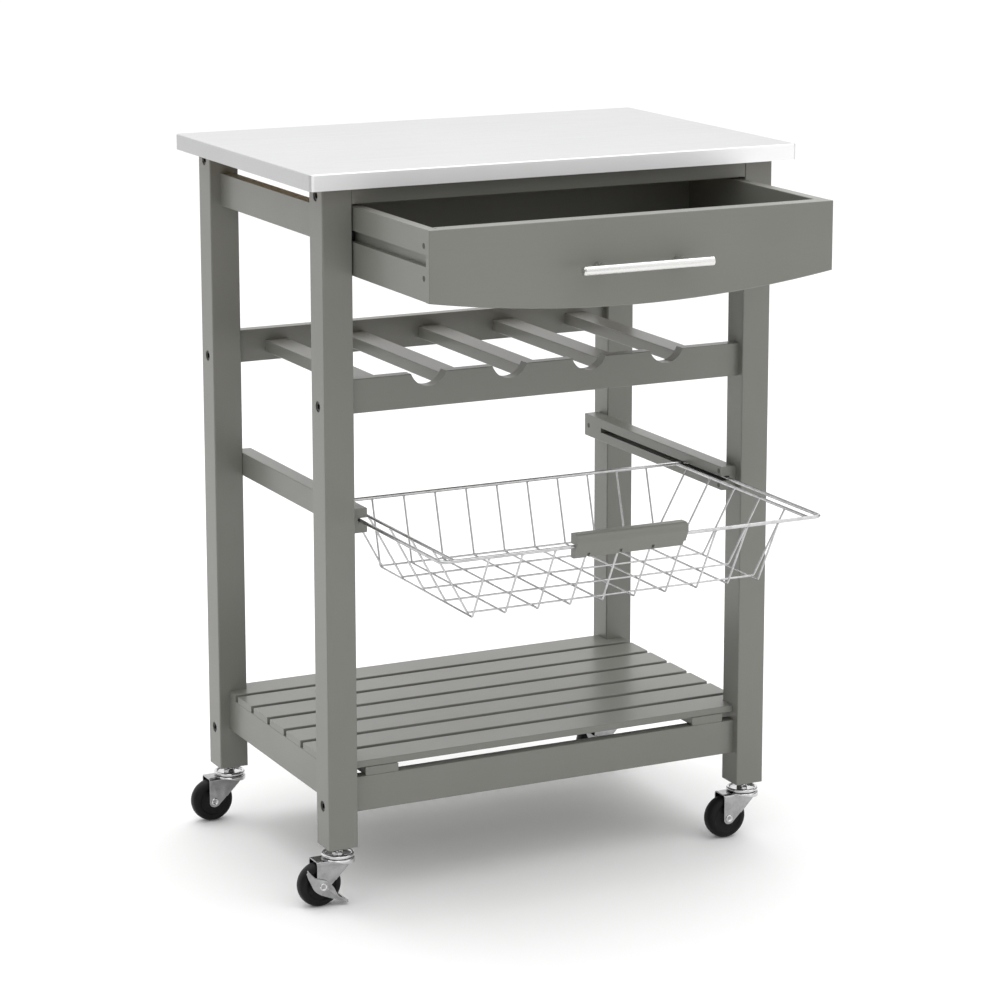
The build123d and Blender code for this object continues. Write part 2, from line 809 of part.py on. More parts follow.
def basket_grip():
    """A wooden grip, round on top, undercut in front and slotted behind for the front wire."""
    front = basket_front - grip_reach
    low = wire_height - grip_height / 2
    left = grip_offset - grip_length / 2
    right = grip_offset + grip_length / 2
    high = low + grip_height
    back = front + grip_thickness
    outline = Polyline(
        (front, high),
        (front, high - grip_nose_drop),
        (back - grip_foot_thickness, low),
        (back, low),
        (back, high),
        close=True,
    )
    section = make_face(outline)
    section = fillet(section.vertices().sort_by_distance((front, high))[0], grip_top_radius)
    nose = (front, high - grip_nose_drop)
    section = fillet(section.vertices().sort_by_distance(nose)[0], grip_nose_radius)
    section = fillet(section.vertices().group_by(Axis.Y)[0], timber_edge_radius)
    section = fillet(section.vertices().sort_by_distance((back, high))[0], timber_edge_radius)
    left_end = Plane(origin=(left, 0, 0), x_dir=(0, 1, 0), z_dir=(1, 0, 0))
    grip = extrude(left_end * section, grip_length)
    slot_half = guide_wire_diameter / 2 + grip_clearance
    behind = back + overcut
    ends = (left - overcut, right + overcut)
    slot = block(ends, (basket_front, behind), (wire_height - slot_half, wire_height + slot_half))
    slot_line = [(x, basket_front, wire_height) for x in ends]
    grip = grip - slot - rod(*slot_line, 2 * slot_half)
    for x in long_wire_places():
        if left < x < right:
            notch = block(
                (x - grip_notch_width / 2, x + grip_notch_width / 2),
                (basket_front - grip_notch_width / 2, behind),
                (low - overcut, wire_height),
            )
            grip = grip - notch
    return grip


# ------------------------------------------------------------------ casters
def caster_stem(side, end):
    """Threaded stem, nut, cap of the swivel race and king pin, all fixed to the leg."""
    x, y = side * leg_x, end * leg_y
    cap_radius = cap_diameter / 2
    profile = Polyline(
        (0, cap_bottom),
        (cap_radius - cap_chamfer, cap_bottom),
        (cap_radius, cap_bottom + cap_chamfer),
        (cap_radius, cap_bottom + cap_height),
        (cap_radius - cap_rim, cap_bottom + cap_height),
        (cap_radius - cap_rim - cap_slope, cap_bottom + cap_floor),
        (0, cap_bottom + cap_floor),
        close=True,
    )
    cap = revolve(Plane.XZ * make_face(profile), Axis.Z)
    nut = extrude(Pos(0, 0, nut_bottom) * RegularPolygon(stem_nut_width / 2, 6, False), stem_nut_height)
    collar = rod((0, 0, collar_bottom), (0, 0, leg_bottom), stem_collar_diameter)
    stem = rod((0, 0, leg_bottom), (0, 0, leg_bottom + stem_length), stem_diameter)
    head_top = fork_top_under - pin_gap
    pin = rod((0, 0, head_top), (0, 0, cap_bottom), pin_diameter)
    head = rod((0, 0, head_top - pin_head_height), (0, 0, head_top), pin_head_diameter)
    head = fillet(head.edges().group_by(Axis.Z)[0], pin_head_height / 2)
    return Pos(x, y, 0) * (cap + nut + collar + stem + pin + head)


def fork_cheek_outline():
    """The side plate seen from the side: a straight back edge and a slanting front edge to a round tip."""
    tip = (-caster_trail, axle_height)
    corner = (fork_front_reach, fork_top - race_skirt_height - fork_top_thickness)
    reach = math.dist(tip, corner)
    towards = math.atan2(corner[1] - tip[1], corner[0] - tip[0])
    swing = math.acos(fork_tip_radius / reach)
    touch_angle = towards - swing
    touch = (
        tip[0] + fork_tip_radius * math.cos(touch_angle),
        tip[1] + fork_tip_radius * math.sin(touch_angle),
    )
    back_x = max(-fork_rear_reach, tip[0] - fork_tip_radius)
    back_angle = math.acos((back_x - tip[0]) / fork_tip_radius)
    back_z = tip[1] - fork_tip_radius * math.sin(back_angle)
    low = (tip[0], tip[1] - fork_tip_radius)
    edges = [
        Line((back_x, fork_top), (back_x, back_z)),
        ThreePointArc((back_x, back_z), low, touch),
        Line(touch, corner),
        Line(corner, (fork_front_reach, fork_top)),
        Line((fork_front_reach, fork_top), (back_x, fork_top)),
    ]
    return make_face(Wire([edge.edge() for edge in edges]))


def rivet_axle(near_end, far_end):
    """The hollow rivet between the side plates, with a rounded head at each end."""
    x = -caster_trail
    axle = rod((x, near_end, axle_height), (x, far_end, axle_height), axle_diameter)
    for place, out in ((near_end, -1), (far_end, 1)):
        tip = place + out * axle_head_height
        hollow_end = tip - out * axle_hollow_depth
        head = rod((x, place, axle_height), (x, tip, axle_height), axle_head_diameter)
        head = fillet(head.edges().sort_by(Axis.Y)[0 if out < 0 else -1], axle_head_height / 2)
        axle = axle + head - rod((x, tip, axle_height), (x, hollow_end, axle_height), axle_hollow_diameter)
    return axle


def caster_fork(side, end, braked):
    """A pressed fork: round top plate with its skirt, two side plates and the hollow rivet axle."""
    skirt_low = fork_top - race_skirt_height - fork_top_thickness
    under_skirt = skirt_low - overcut
    inside = race_diameter - 2 * fork_thickness
    disc = rod((0, 0, fork_top_under), (0, 0, fork_top), race_diameter)
    disc = fillet(disc.edges().group_by(Axis.Z)[-1], fork_top_thickness / 2)
    skirt = rod((0, 0, skirt_low), (0, 0, fork_top_under), race_diameter)
    skirt = skirt - rod((0, 0, under_skirt), (0, 0, fork_top_under), inside)
    in_front = (-race_diameter, -fork_front_reach)
    skirt = skirt - block(in_front, (-race_diameter, race_diameter), (0, fork_top))
    plate = block((-fork_rear_reach, 0), (-fork_outer, fork_outer), (fork_top_under, fork_top))
    cheek = extrude(Plane.XZ * fork_cheek_outline(), fork_thickness)
    fork = disc + skirt + plate + Pos(0, fork_outer, 0) * cheek + Pos(0, -fork_inner, 0) * cheek
    fork = fork - rod((0, 0, under_skirt), (0, 0, fork_top + overcut), pin_diameter + 2 * axle_fit)
    near_end = -(brake_outer + brake_gap if braked else fork_outer)
    fork = fork + rivet_axle(near_end, fork_outer)
    return Pos(side * leg_x, end * leg_y, 0) * fork


def caster_wheel(side, end):
    """A wheel with rounded shoulders, a shallow ring recess in each face and a bore for the axle."""
    radius = wheel_diameter / 2
    half = wheel_width / 2
    bore = axle_diameter / 2 + axle_fit
    section = Rectangle(radius - bore, wheel_width, align=(Align.MIN, Align.CENTER))
    section = Pos(bore, 0) * section
    outer = section.vertices().group_by(Axis.X)[-1]
    section = fillet(outer, wheel_shoulder)
    ring = wheel_recess_outer - wheel_recess_inner
    recess = Rectangle(ring, wheel_recess_depth + overcut, align=(Align.MIN, Align.MIN))
    recess = Pos(wheel_recess_inner, half - wheel_recess_depth) * recess
    section = section - recess - mirror(recess, Plane.XZ)
    wheel = revolve(section, Axis.Y)
    return Pos(side * leg_x - caster_trail, end * leg_y, axle_height) * wheel


def from_axle(share, across=0.0, up=0.0):
    """A point of the brake lever's outline from its share of the wheel's radius, moved by a few tenths."""
    radius = wheel_diameter / 2
    return (share[0] * radius + across, share[1] * radius + up)


def brake_cheek():
    """The lever's flat side beside the fork, with a hole for the axle."""
    root_low = from_axle(brake_pedal_root, 0, -brake_pedal_height + brake_pedal_thickness / 2)
    tip_low = from_axle(brake_pedal_tip, 0, -brake_pedal_thickness)
    tip_high = from_axle(brake_pedal_tip, 0, brake_pedal_thickness)
    edges = [
        Line(from_axle(brake_horn), from_axle(brake_heel)),
        ThreePointArc(from_axle(brake_heel), from_axle(brake_belly), from_axle(brake_sole)),
        Line(from_axle(brake_sole), root_low),
        Line(root_low, tip_low),
        Line(tip_low, tip_high),
        Line(tip_high, from_axle(brake_shin)),
        ThreePointArc(from_axle(brake_shin), from_axle(brake_instep), from_axle(brake_knee)),
        Line(from_axle(brake_knee), from_axle(brake_neck)),
        Line(from_axle(brake_neck), from_axle(brake_horn)),
    ]
    outline = make_face(Wire([edge.edge() for edge in edges]))
    cheek = Pos(0, -brake_inner, 0) * extrude(Plane.XZ * outline, brake_thickness)
    return cheek - rod((0, -brake_outer - overcut, 0), (0, 0, 0), axle_diameter + 2 * axle_fit)


def brake_lever(side, end):
    """A pressed lever on the axle: a cheek beside the fork, a flange towards the wheel and a foot pedal."""
    half_wheel = wheel_width / 2
    flange_line = Polyline(
        from_axle(brake_horn),
        from_axle(brake_neck),
        from_axle(brake_neck, -brake_thickness * 0.6, -brake_thickness * 0.8),
        from_axle(brake_horn, 0, -brake_thickness),
        close=True,
    )
    flange_in = half_wheel + brake_flange_gap
    flange = extrude(Plane.XZ * make_face(flange_line), brake_outer - flange_in)
    pedal_line = Polyline(
        from_axle(brake_pedal_root, brake_pedal_thickness / 2, brake_pedal_thickness),
        from_axle(brake_pedal_tip, 0, brake_pedal_thickness),
        from_axle(brake_pedal_tip),
        from_axle(brake_pedal_root, brake_pedal_thickness / 2),
        close=True,
    )
    pedal = extrude(Plane.XZ * make_face(pedal_line), brake_outer + half_wheel / 2)
    lever = brake_cheek() + Pos(0, -flange_in, 0) * flange + Pos(0, half_wheel / 2, 0) * pedal
    return Pos(side * leg_x - caster_trail, end * leg_y, axle_height) * lever


# ------------------------------------------------------------------ build and write
def build():
    holes = bolt_holes() + dowel_holes() + wood_screw_holes()

    for name, (side, end) in CORNERS.items():
        write_part(f"leg_{name}", drilled(leg(side, end), holes))
    core = drilled(worktop_core(), holes)
    write_part("worktop_core", core)
    write_part("worktop_steel", worktop_steel(worktop_core()))

    for name, side in SIDES.items():
        upper = side_rail(side, upper_rail_bottom, upper_rail_height)
        lower = side_rail(side, lower_side_bottom, lower_rail_height)
        write_part(f"upper_rail_{name}", drilled(upper, holes))
        write_part(f"shelf_rail_{name}", drilled(lower, holes))
        write_part(f"shelf_batten_{name}", drilled(shelf_batten(side), holes))
        write_part(f"basket_rail_{name}", drilled(basket_rail(side), holes))
        write_part(f"drawer_runner_{name}", drilled(drawer_runner(side), holes))
    for name, end in ENDS.items():
        lower = cross_rail(end, lower_end_bottom, lower_rail_height)
        write_part(f"top_rail_{name}", drilled(top_rail(end), holes))
        write_part(f"shelf_rail_{name}", drilled(lower, holes))
    write_part("rack_rail_front", drilled(rack_rail_front(), holes))
    write_part("rack_rail_back", drilled(cross_rail(1, rack_rail_bottom, rack_rail_height), holes))
    for index, x in enumerate(rack_slat_places()):
        write_part(f"rack_slat_{index + 1}", drilled(rack_slat(x), holes))
    for index, y in enumerate(shelf_slat_places()):
        write_part(f"shelf_slat_{index + 1}", drilled(shelf_slat(y), holes))
    write_part("frame_bolts", frame_bolts())
    write_part("dowels", dowels())
    write_part("wood_screws", wood_screws())

    drawer_holes = [screw_hole(*line) for line in drawer_screw_lines()]
    write_part("drawer_front", drilled(drawer_front_panel(), drawer_holes))
    for name, side in SIDES.items():
        write_part(f"drawer_side_{name}", drilled(drawer_side(side), drawer_holes))
    write_part("drawer_back", drilled(drawer_back_board(), drawer_holes))
    write_part("drawer_bottom", drawer_bottom_space(0))
    write_part("drawer_screws", [wood_screw(*line) for line in drawer_screw_lines()])
    bar = handle_bar()
    write_part("handle_bar", bar)
    write_part("handle_posts", [drilled(post, drawer_holes) for post in handle_posts(bar)])

    write_part("basket_frame", basket_frame())
    write_part("basket_wires_long", basket_wires_long())
    write_part("basket_wires_cross", basket_wires_cross())
    write_part("basket_grip", basket_grip())

    write_part("caster_stems", [caster_stem(side, end) for side, end in CORNERS.values()])
    for name, (side, end) in CORNERS.items():
        write_part(f"caster_fork_{name}", caster_fork(side, end, name in BRAKED))
        write_part(f"caster_wheel_{name}", caster_wheel(side, end))
        if name in BRAKED:
            write_part(f"brake_lever_{name}", brake_lever(side, end))


if __name__ == "__main__":
    build()
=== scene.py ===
# %% [markdown]
# # A rolling pantry cart, from its engineering model to a finished look
# The engineering model gives every timber, rail, screw and joint at its true size and place. This lesson
# dresses it. First it loads that model as a fixed frame. Then it makes the finishes: satin paint on timber,
# brushed steel, bright zinc, plated wire and black rubber. Then it works out, with numpy, the pieces whose
# shape is softer than a drawing office would draw it: bent wires, pressed caster forks, moulded wheels.

# %% Load the frame
import json

import bmesh
import bpy
import numpy as np
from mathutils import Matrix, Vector


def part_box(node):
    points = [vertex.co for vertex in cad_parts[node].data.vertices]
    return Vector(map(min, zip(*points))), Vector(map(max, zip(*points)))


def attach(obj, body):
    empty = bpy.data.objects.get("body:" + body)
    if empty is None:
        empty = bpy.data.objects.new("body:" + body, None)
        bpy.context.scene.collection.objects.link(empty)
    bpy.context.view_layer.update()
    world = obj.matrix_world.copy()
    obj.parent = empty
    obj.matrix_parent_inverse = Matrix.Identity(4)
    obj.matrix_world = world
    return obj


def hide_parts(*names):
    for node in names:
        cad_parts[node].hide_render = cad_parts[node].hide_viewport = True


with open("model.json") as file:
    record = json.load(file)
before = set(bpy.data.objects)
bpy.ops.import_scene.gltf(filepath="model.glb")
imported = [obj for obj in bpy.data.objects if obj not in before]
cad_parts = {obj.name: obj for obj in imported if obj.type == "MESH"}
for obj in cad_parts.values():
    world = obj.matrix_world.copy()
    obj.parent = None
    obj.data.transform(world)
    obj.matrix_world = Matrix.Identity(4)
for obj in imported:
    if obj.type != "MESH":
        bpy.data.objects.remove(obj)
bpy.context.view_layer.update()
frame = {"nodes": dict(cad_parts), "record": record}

nodes = frame["nodes"]

# %% [markdown]
# ## Places
# Everything is placed from the engineering model. A node's box gives its lowest and highest corner in metres.
# The middle of the worktop is the middle of the cart, and the four legs give the four caster axes.

# %% The cart's middle and the legs' axes
def middle(node):
    """Half-way between a node's lowest and highest corners."""
    low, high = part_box(node)
    return (low + high) / 2


cart = middle("worktop_steel")
corners = ("front_left", "front_right", "back_left", "back_right")
leg_axis = {corner: middle("leg_" + corner) for corner in corners}
worktop_low, worktop_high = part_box("worktop_steel")
print("worktop", [round(v * 1000, 1) for v in worktop_high - worktop_low])

# %% [markdown]
# ## A small language for shader maths
# A material is a recipe of nodes. Writing `0.3 + 0.1 * noise` is easier to read than placing boxes and
# wires, so one small class wraps a node's output and turns Python's operators into Math nodes. Whatever is
# only numbers is worked out in Python and never becomes a node.

# %% The wrapped socket
class Sock:
    """One output of a node tree. Arithmetic on it adds Math nodes; `node` makes any other node."""

    def __init__(self, tree, socket):
        self.tree = tree
        self.socket = socket

    def node(self, kind, settings=None, out=0, **inputs):
        """Makes a node of a type, sets its settings first, then its sockets' values or links."""
        return make_node(self.tree, kind, settings, out, **inputs)

    def maths(self, operation, *values):
        made = self.tree.nodes.new("ShaderNodeMath")
        made.operation = operation
        for place, value in zip(made.inputs, values):
            plug(self.tree, place, value)
        return Sock(self.tree, made.outputs[0])

    def __add__(self, other):
        return self.maths("ADD", self, other)

    def __radd__(self, other):
        return self.maths("ADD", other, self)

    def __sub__(self, other):
        return self.maths("SUBTRACT", self, other)

    def __rsub__(self, other):
        return self.maths("SUBTRACT", other, self)

    def __mul__(self, other):
        return self.maths("MULTIPLY", self, other)

    def __rmul__(self, other):
        return self.maths("MULTIPLY", other, self)

    def __lt__(self, other):
        return self.maths("LESS_THAN", self, other)

    def ramp(self, low, high):
        """0 below low, 1 above high, and a smooth rise between."""
        settings = {"interpolation_type": "SMOOTHSTEP"}
        return self.node("ShaderNodeMapRange", settings, **{"Value": self, "From Min": low, "From Max": high})


def plug(tree, place, value):
    """Links a wrapped socket to an input, or writes a plain value on it."""
    if isinstance(value, Sock):
        tree.links.new(value.socket, place)
    else:
        place.default_value = value


def make_node(tree, kind, settings=None, out=0, **inputs):
    """A node with its settings made first, then its inputs, by name or by number as in0, in1."""
    made = tree.nodes.new(kind)
    for key, value in (settings or {}).items():
        setattr(made, key, value)
    for key, value in inputs.items():
        number = key[2:] if key.startswith("in") and key[2:].isdigit() else None
        plug(tree, made.inputs[int(number) if number else key], value)
    return Sock(tree, made.outputs[out])


print("shader maths ready")

# %% [markdown]
# ## Patterns
# Real finishes vary at a few scales: broad patches, a grain that runs one way, and fine speckle. Noise in
# object coordinates gives each, and stretching its coordinates along one axis turns speckle into grain or
# into the parallel scratches of brushed metal.

# %% Noise, stretch and colour helpers
class Finish:
    """A material being written: its tree, its object coordinates and its main shader."""

    def __init__(self, name, **constants):
        self.material = bpy.data.materials.new(name)
        self.material.use_nodes = True
        self.tree = self.material.node_tree
        self.shader = self.tree.nodes["Principled BSDF"]
        self.place = make_node(self.tree, "ShaderNodeTexCoord", out=3)
        for key, value in constants.items():
            self.shader.inputs[key.replace("_", " ")].default_value = value

    def stretched(self, x, y, z):
        """Object coordinates in metres, multiplied along each axis."""
        settings = {"operation": "MULTIPLY"}
        return make_node(self.tree, "ShaderNodeVectorMath", settings, in0=self.place, in1=(x, y, z))

    def noise(self, scale, detail=3.0, roughness=0.55, stretch=(1, 1, 1)):
        """Noise from 0 to 1 whose cells are about 1 / scale metres."""
        return make_node(
            self.tree,
            "ShaderNodeTexNoise",
            Vector=self.stretched(*stretch),
            Scale=scale,
            Detail=detail,
            Roughness=roughness,
        )

    def axis(self, index):
        """One of the object coordinates, in metres."""
        return make_node(self.tree, "ShaderNodeSeparateXYZ", out=index, Vector=self.place)

    def mix(self, factor, first, second):
        """Two colours, mixed by a factor."""
        settings = {"data_type": "RGBA"}
        return make_node(self.tree, "ShaderNodeMix", settings, 2, in0=factor, in6=first, in7=second)

    def bump(self, height, strength, distance, normal=None):
        """A Bump node: a height from 0 to 1, over a distance in metres."""
        extra = {"Normal": normal} if normal else {}
        return make_node(
            self.tree, "ShaderNodeBump", Height=height, Strength=strength, Distance=distance, **extra
        )

    def wire_up(self, **sockets):
        """Feeds the main shader's sockets and returns the material."""
        for key, value in sockets.items():
            plug(self.tree, self.shader.inputs[key.replace("_", " ")], value)
        return self.material


def tone(red, green, blue):
    """A colour with full alpha."""
    return (red, green, blue, 1.0)


finishes = {}
print("pattern helpers ready")

# %% [markdown]
# ## Satin paint on timber
# The frame is rubberwood under a sprayed warm-grey paint. Paint hides the wood's colour, but the grain still
# shows as faint long ridges, the spray leaves a fine skin, and broad patches are a touch lighter or darker.
# The grain runs along each timber, so one recipe is made three times, for the three directions.

# %% Painted timber, one finish for each direction of grain
PAINT = (0.176, 0.177, 0.159)
PAINT_DARK = (0.162, 0.163, 0.145)


def painted_timber(name, along):
    """Paint whose grain is noise stretched thirty times along one axis (0, 1 or 2)."""
    stretch = [1.0, 1.0, 1.0]
    stretch[along] = 1 / 30
    paint = Finish(name, IOR=1.5, Specular_IOR_Level=0.3, Coat_IOR=1.5, Coat_Roughness=0.24, Coat_Weight=0.40)
    patches = paint.noise(5.0, 2.0)
    grain = paint.noise(420.0, 4.0, 0.6, stretch)
    skin = paint.noise(1500.0, 2.0)
    pores = paint.noise(900.0, 1.0, 0.5, stretch).ramp(0.62, 0.74)
    colour = paint.mix(patches.ramp(0.3, 0.7), tone(*PAINT), tone(*PAINT_DARK))
    colour = paint.mix(0.10 * grain + 0.12 * pores, colour, tone(0.13, 0.128, 0.112))
    ridges = paint.bump(grain - 0.5 * pores, 0.22, 0.00022)
    surface = paint.bump(skin, 0.10, 0.00006, ridges)
    return paint.wire_up(
        Base_Color=colour, Roughness=0.36 + 0.10 * patches + 0.05 * skin, Normal=surface
    )


for name, along in (("paint_x", 0), ("paint_y", 1), ("paint_z", 2)):
    finishes[name] = painted_timber(name, along)
print("painted timber", [n for n in finishes])

# %% [markdown]
# ## Brushed stainless steel
# The worktop's skin was rubbed with a belt along its length, so its scratches run one way. Very long thin
# noise drives the roughness and a shallow bump, and wide soft smears stand for wiping and handling. The fold
# along the front is painted lighter: a painted highlight standing in for light on that edge.

# %% Worktop steel
def brushed_steel(name, stretch, colour, rough, front=None):
    """Metal with scratches along the least stretched axis, and a painted highlight where y is below front."""
    steel = Finish(name, Metallic=1.0)
    scratches = steel.noise(900.0, 5.0, 0.7, stretch)
    fine = steel.noise(2600.0, 3.0, 0.6, stretch)
    smears = steel.noise(7.0, 3.0)
    shade = steel.mix(scratches.ramp(0.3, 0.75), tone(*colour), tone(*[c * 0.90 for c in colour]))
    if front is not None:
        # painted highlight: below front the colour is lifted to a paler steel to stand in for light on the
        # edge
        shade = steel.mix(steel.axis(1) < front, shade, tone(0.82, 0.82, 0.825))
    lines = steel.bump(scratches + 0.6 * fine, 0.16, 0.00005)
    return steel.wire_up(
        Base_Color=shade, Roughness=rough + 0.10 * scratches + 0.06 * smears.ramp(0.35, 0.7), Normal=lines
    )


# where the painted highlight on the worktop's front fold begins
painted_highlight_fold = worktop_low.y + 0.0012
finishes["worktop_steel"] = brushed_steel(
    "worktop_steel", (0.012, 1.0, 1.0), (0.57, 0.57, 0.575), 0.40, painted_highlight_fold
)
finishes["handle_steel"] = brushed_steel("handle_steel", (0.03, 1.0, 1.0), (0.72, 0.715, 0.70), 0.20)
print("brushed steel ready")

# %% [markdown]
# ## Bright zinc, plated wire and dark steel
# The casters are pressed steel with bright zinc plating: a mirror that is slightly uneven and a little
# cloudy. The forks and levers get a darker copy of the plating: painted shade. The basket's wire is duller,
# because it is drawn through a die and then dipped. The socket bolts and wood screws are blackened.

# %% Plated and blackened metals
def plated(name, colour, rough, cloud, ripple):
    """Metal with cloudy patches in its gloss and a shallow ripple from forming."""
    metal = Finish(name, Metallic=1.0)
    clouds = metal.noise(130.0, 4.0)
    specks = metal.noise(1800.0, 2.0)
    shade = metal.mix(clouds.ramp(0.35, 0.7), tone(*colour), tone(*[c * 0.82 for c in colour]))
    wave = metal.bump(metal.noise(90.0, 2.0) + 0.2 * specks, ripple, 0.0004)
    return metal.wire_up(Base_Color=shade, Roughness=rough + cloud * clouds + 0.04 * specks, Normal=wave)


finishes["chrome"] = plated("chrome", (0.68, 0.68, 0.685), 0.06, 0.06, 0.07)
# the same zinc plating at about half the brightness: painted shade for the forks and brake levers
finishes["zinc_painted_shade"] = plated("zinc_painted_shade", (0.38, 0.38, 0.385), 0.08, 0.08, 0.10)
finishes["basket_wire"] = plated("basket_wire", (0.56, 0.56, 0.565), 0.17, 0.10, 0.05)
finishes["dark_steel"] = plated("dark_steel", (0.075, 0.073, 0.07), 0.34, 0.16, 0.05)
print("plated metals ready")

# %% [markdown]
# ## Rubber, plastic and boards
# The wheels are moulded black rubber with a soft sheen and dust in the pores. Under the steel lies a
# pressed board, and the dowels are bare beech.

# %% Rubber, plastic, board and beech
def moulded(name, dark, dusty, rough):
    """A moulded black surface: fine pores, and a pale dust that gathers in patches."""
    rubber = Finish(name, IOR=1.5, Specular_IOR_Level=0.18)
    pores = rubber.noise(2400.0, 3.0)
    dust = rubber.noise(60.0, 4.0).ramp(0.45, 0.8)
    shade = rubber.mix(0.5 * dust, tone(*dark), tone(*dusty))
    return rubber.wire_up(
        Base_Color=shade,
        Roughness=rough + 0.12 * dust + 0.06 * pores,
        Normal=rubber.bump(pores, 0.14, 0.0001),
    )


def pressed_board(name):
    """Wood chips pressed with glue: cells of slightly different browns, with a rough face."""
    board = Finish(name)
    chips = make_node(
        board.tree, "ShaderNodeTexVoronoi", out=1, Vector=board.stretched(1.0, 2.6, 1.0), Scale=150.0
    )
    depth = make_node(board.tree, "ShaderNodeRGBToBW", in0=chips)
    shade = board.mix(depth, tone(0.40, 0.28, 0.16), tone(0.62, 0.48, 0.31))
    shade = board.mix(board.noise(700.0, 3.0).ramp(0.5, 0.8), shade, tone(0.30, 0.20, 0.11))
    return board.wire_up(
        Base_Color=shade,
        Roughness=0.78 + 0.1 * depth,
        Normal=board.bump(depth, 0.25, 0.0003),
    )


def bare_wood(name):
    """Beech with short dark flecks along its length."""
    wood = Finish(name)
    grain = wood.noise(260.0, 4.0, 0.6, (0.1, 1.0, 1.0))
    shade = wood.mix(grain.ramp(0.4, 0.7), tone(0.56, 0.39, 0.22), tone(0.42, 0.27, 0.14))
    return wood.wire_up(
        Base_Color=shade,
        Roughness=0.55 + 0.1 * grain,
        Normal=wood.bump(grain, 0.2, 0.0002),
    )


finishes["wheel_rubber"] = moulded("wheel_rubber", (0.0040, 0.0040, 0.0043), (0.012, 0.0118, 0.0115), 0.42)
finishes["runner_plastic"] = moulded("runner_plastic", (0.010, 0.010, 0.011), (0.022, 0.022, 0.022), 0.45)
finishes["core_board"] = pressed_board("core_board")
finishes["bare_wood"] = bare_wood("bare_wood")
print("soft and dark finishes ready")

# %% [markdown]
# ## Dressing the engineering pieces
# Most timbers are already the right shape, so each only gets its finish. The grain follows the longest side
# of the piece, which its box tells.

# %% Give every engineering piece its finish
slot_finish = {
    "core_board": "core_board",
    "worktop_steel": "worktop_steel",
    "runner_plastic": "runner_plastic",
    "dark_steel": "dark_steel",
    "raw_wood": "bare_wood",
    "chrome": "chrome",
    "handle_steel": "handle_steel",
    "basket_wire": "basket_wire",
    "wheel_rubber": "wheel_rubber",
}
PAINTED_SLOTS = ("painted_wood", "dark_board")
node_slot = {part["node"]: part["material_slot"] for part in frame["record"]["subparts"]}


def grain_axis(node):
    """0, 1 or 2: the axis along which the node is longest."""
    low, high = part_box(node)
    return int(np.argmax(high - low))


def finish_of(node):
    """The name of a node's finish: paint with the grain along the piece, or what its slot asks for."""
    if node_slot[node] in PAINTED_SLOTS:
        return "paint_" + "xyz"[grain_axis(node)]
    return slot_finish[node_slot[node]]


for name, piece in nodes.items():
    piece.data.materials.clear()
    piece.data.materials.append(finishes[finish_of(name)])
print("dressed", len(nodes), "engineering pieces")

# %% [markdown]
# ## Surfaces from arrays
# A new piece is a grid of points: rows and columns of a surface that two parameters describe. Neighbouring
# points make four-sided faces. A closed shape is turned the right way round by its volume: if the sum of
# the little pyramids from the origin to each face is negative, every face is flipped.

# %% Grid to mesh
def grid_faces(rows, columns, wrap_rows=False, wrap_columns=False):
    """Corner numbers of the faces of a grid of rows x columns points, joined round where it wraps."""
    row = np.arange(rows if wrap_rows else rows - 1)[:, None]
    column = np.arange(columns if wrap_columns else columns - 1)[None, :]
    next_row = (row + 1) % rows
    next_column = (column + 1) % columns
    return np.stack(
        [
            row * columns + column,
            row * columns + next_column,
            next_row * columns + next_column,
            next_row * columns + column,
        ],
        axis=-1,
    ).reshape(-1, 4)


def signed_volume(points, faces):
    """The volume inside a closed surface: a sixth of the sum of corner dot (corner cross corner)."""
    a, b, c, d = (points[faces[:, k]] for k in range(4))
    first = np.einsum("ij,ij->i", a, np.cross(b, c))
    second = np.einsum("ij,ij->i", a, np.cross(c, d))
    return float((first + second).sum() / 6)


def make_piece(name, parts, finish, body, closed=True, sharp=40):
    """One object from a list of (points, faces), welded where points meet, shaded smooth, on a body."""
    mesh_points, mesh_faces, count = [], [], 0
    for points, faces in parts:
        points = np.asarray(points, float).reshape(-1, 3)
        if closed and signed_volume(points - points.mean(0), faces) < 0:
            faces = faces[:, ::-1]
        mesh_points.append(points)
        mesh_faces.append(faces + count)
        count += len(points)
    mesh = bpy.data.meshes.new(name)
    mesh.from_pydata(np.concatenate(mesh_points).tolist(), [], np.concatenate(mesh_faces).tolist())
    work = bmesh.new()
    work.from_mesh(mesh)
    bmesh.ops.remove_doubles(work, verts=work.verts, dist=1e-6)
    bmesh.ops.dissolve_degenerate(work, edges=work.edges, dist=1e-6)
    work.to_mesh(mesh)
    work.free()
    mesh.polygons.foreach_set("use_smooth", np.ones(len(mesh.polygons), bool))
    mesh.set_sharp_from_angle(angle=np.radians(sharp))
    mesh.materials.append(finishes[finish])
    piece = bpy.data.objects.new(name, mesh)
    bpy.context.scene.collection.objects.link(piece)
    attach(piece, body)
    return piece


print("a test box of 6 faces from a grid:", len(grid_faces(4, 2, True)))

# %% [markdown]
# ## Bent wire
# A wire basket is made from straight wire bent over a former, so each piece lies in one plane: straight
# runs, and a small round bend at each corner. A circle carried along that path gives the wire. Its ends are
# closed by carrying the circle down to a point.

# %% A path with round bends, and a round wire along it
def rounded_path(corners, radius, steps=7):
    """Straight runs joined by arcs. An arc starts radius * tan(half the turn) before its corner."""
    corners = np.asarray(corners, float)
    path = [corners[:1]]
    for before, corner, after in zip(corners[:-2], corners[1:-1], corners[2:]):
        arrive = (corner - before) / np.linalg.norm(corner - before)
        leave = (after - corner) / np.linalg.norm(after - corner)
        turn = np.arccos(np.clip(arrive @ leave, -1, 1))
        inward = leave - arrive * (arrive @ leave)
        inward = inward / np.linalg.norm(inward)
        start = corner - arrive * radius * np.tan(turn / 2)
        angle = np.linspace(0, turn, steps)[:, None]
        path.append(start + radius * (np.sin(angle) * arrive + (1 - np.cos(angle)) * inward))
    path.append(corners[-1:])
    return np.concatenate(path)


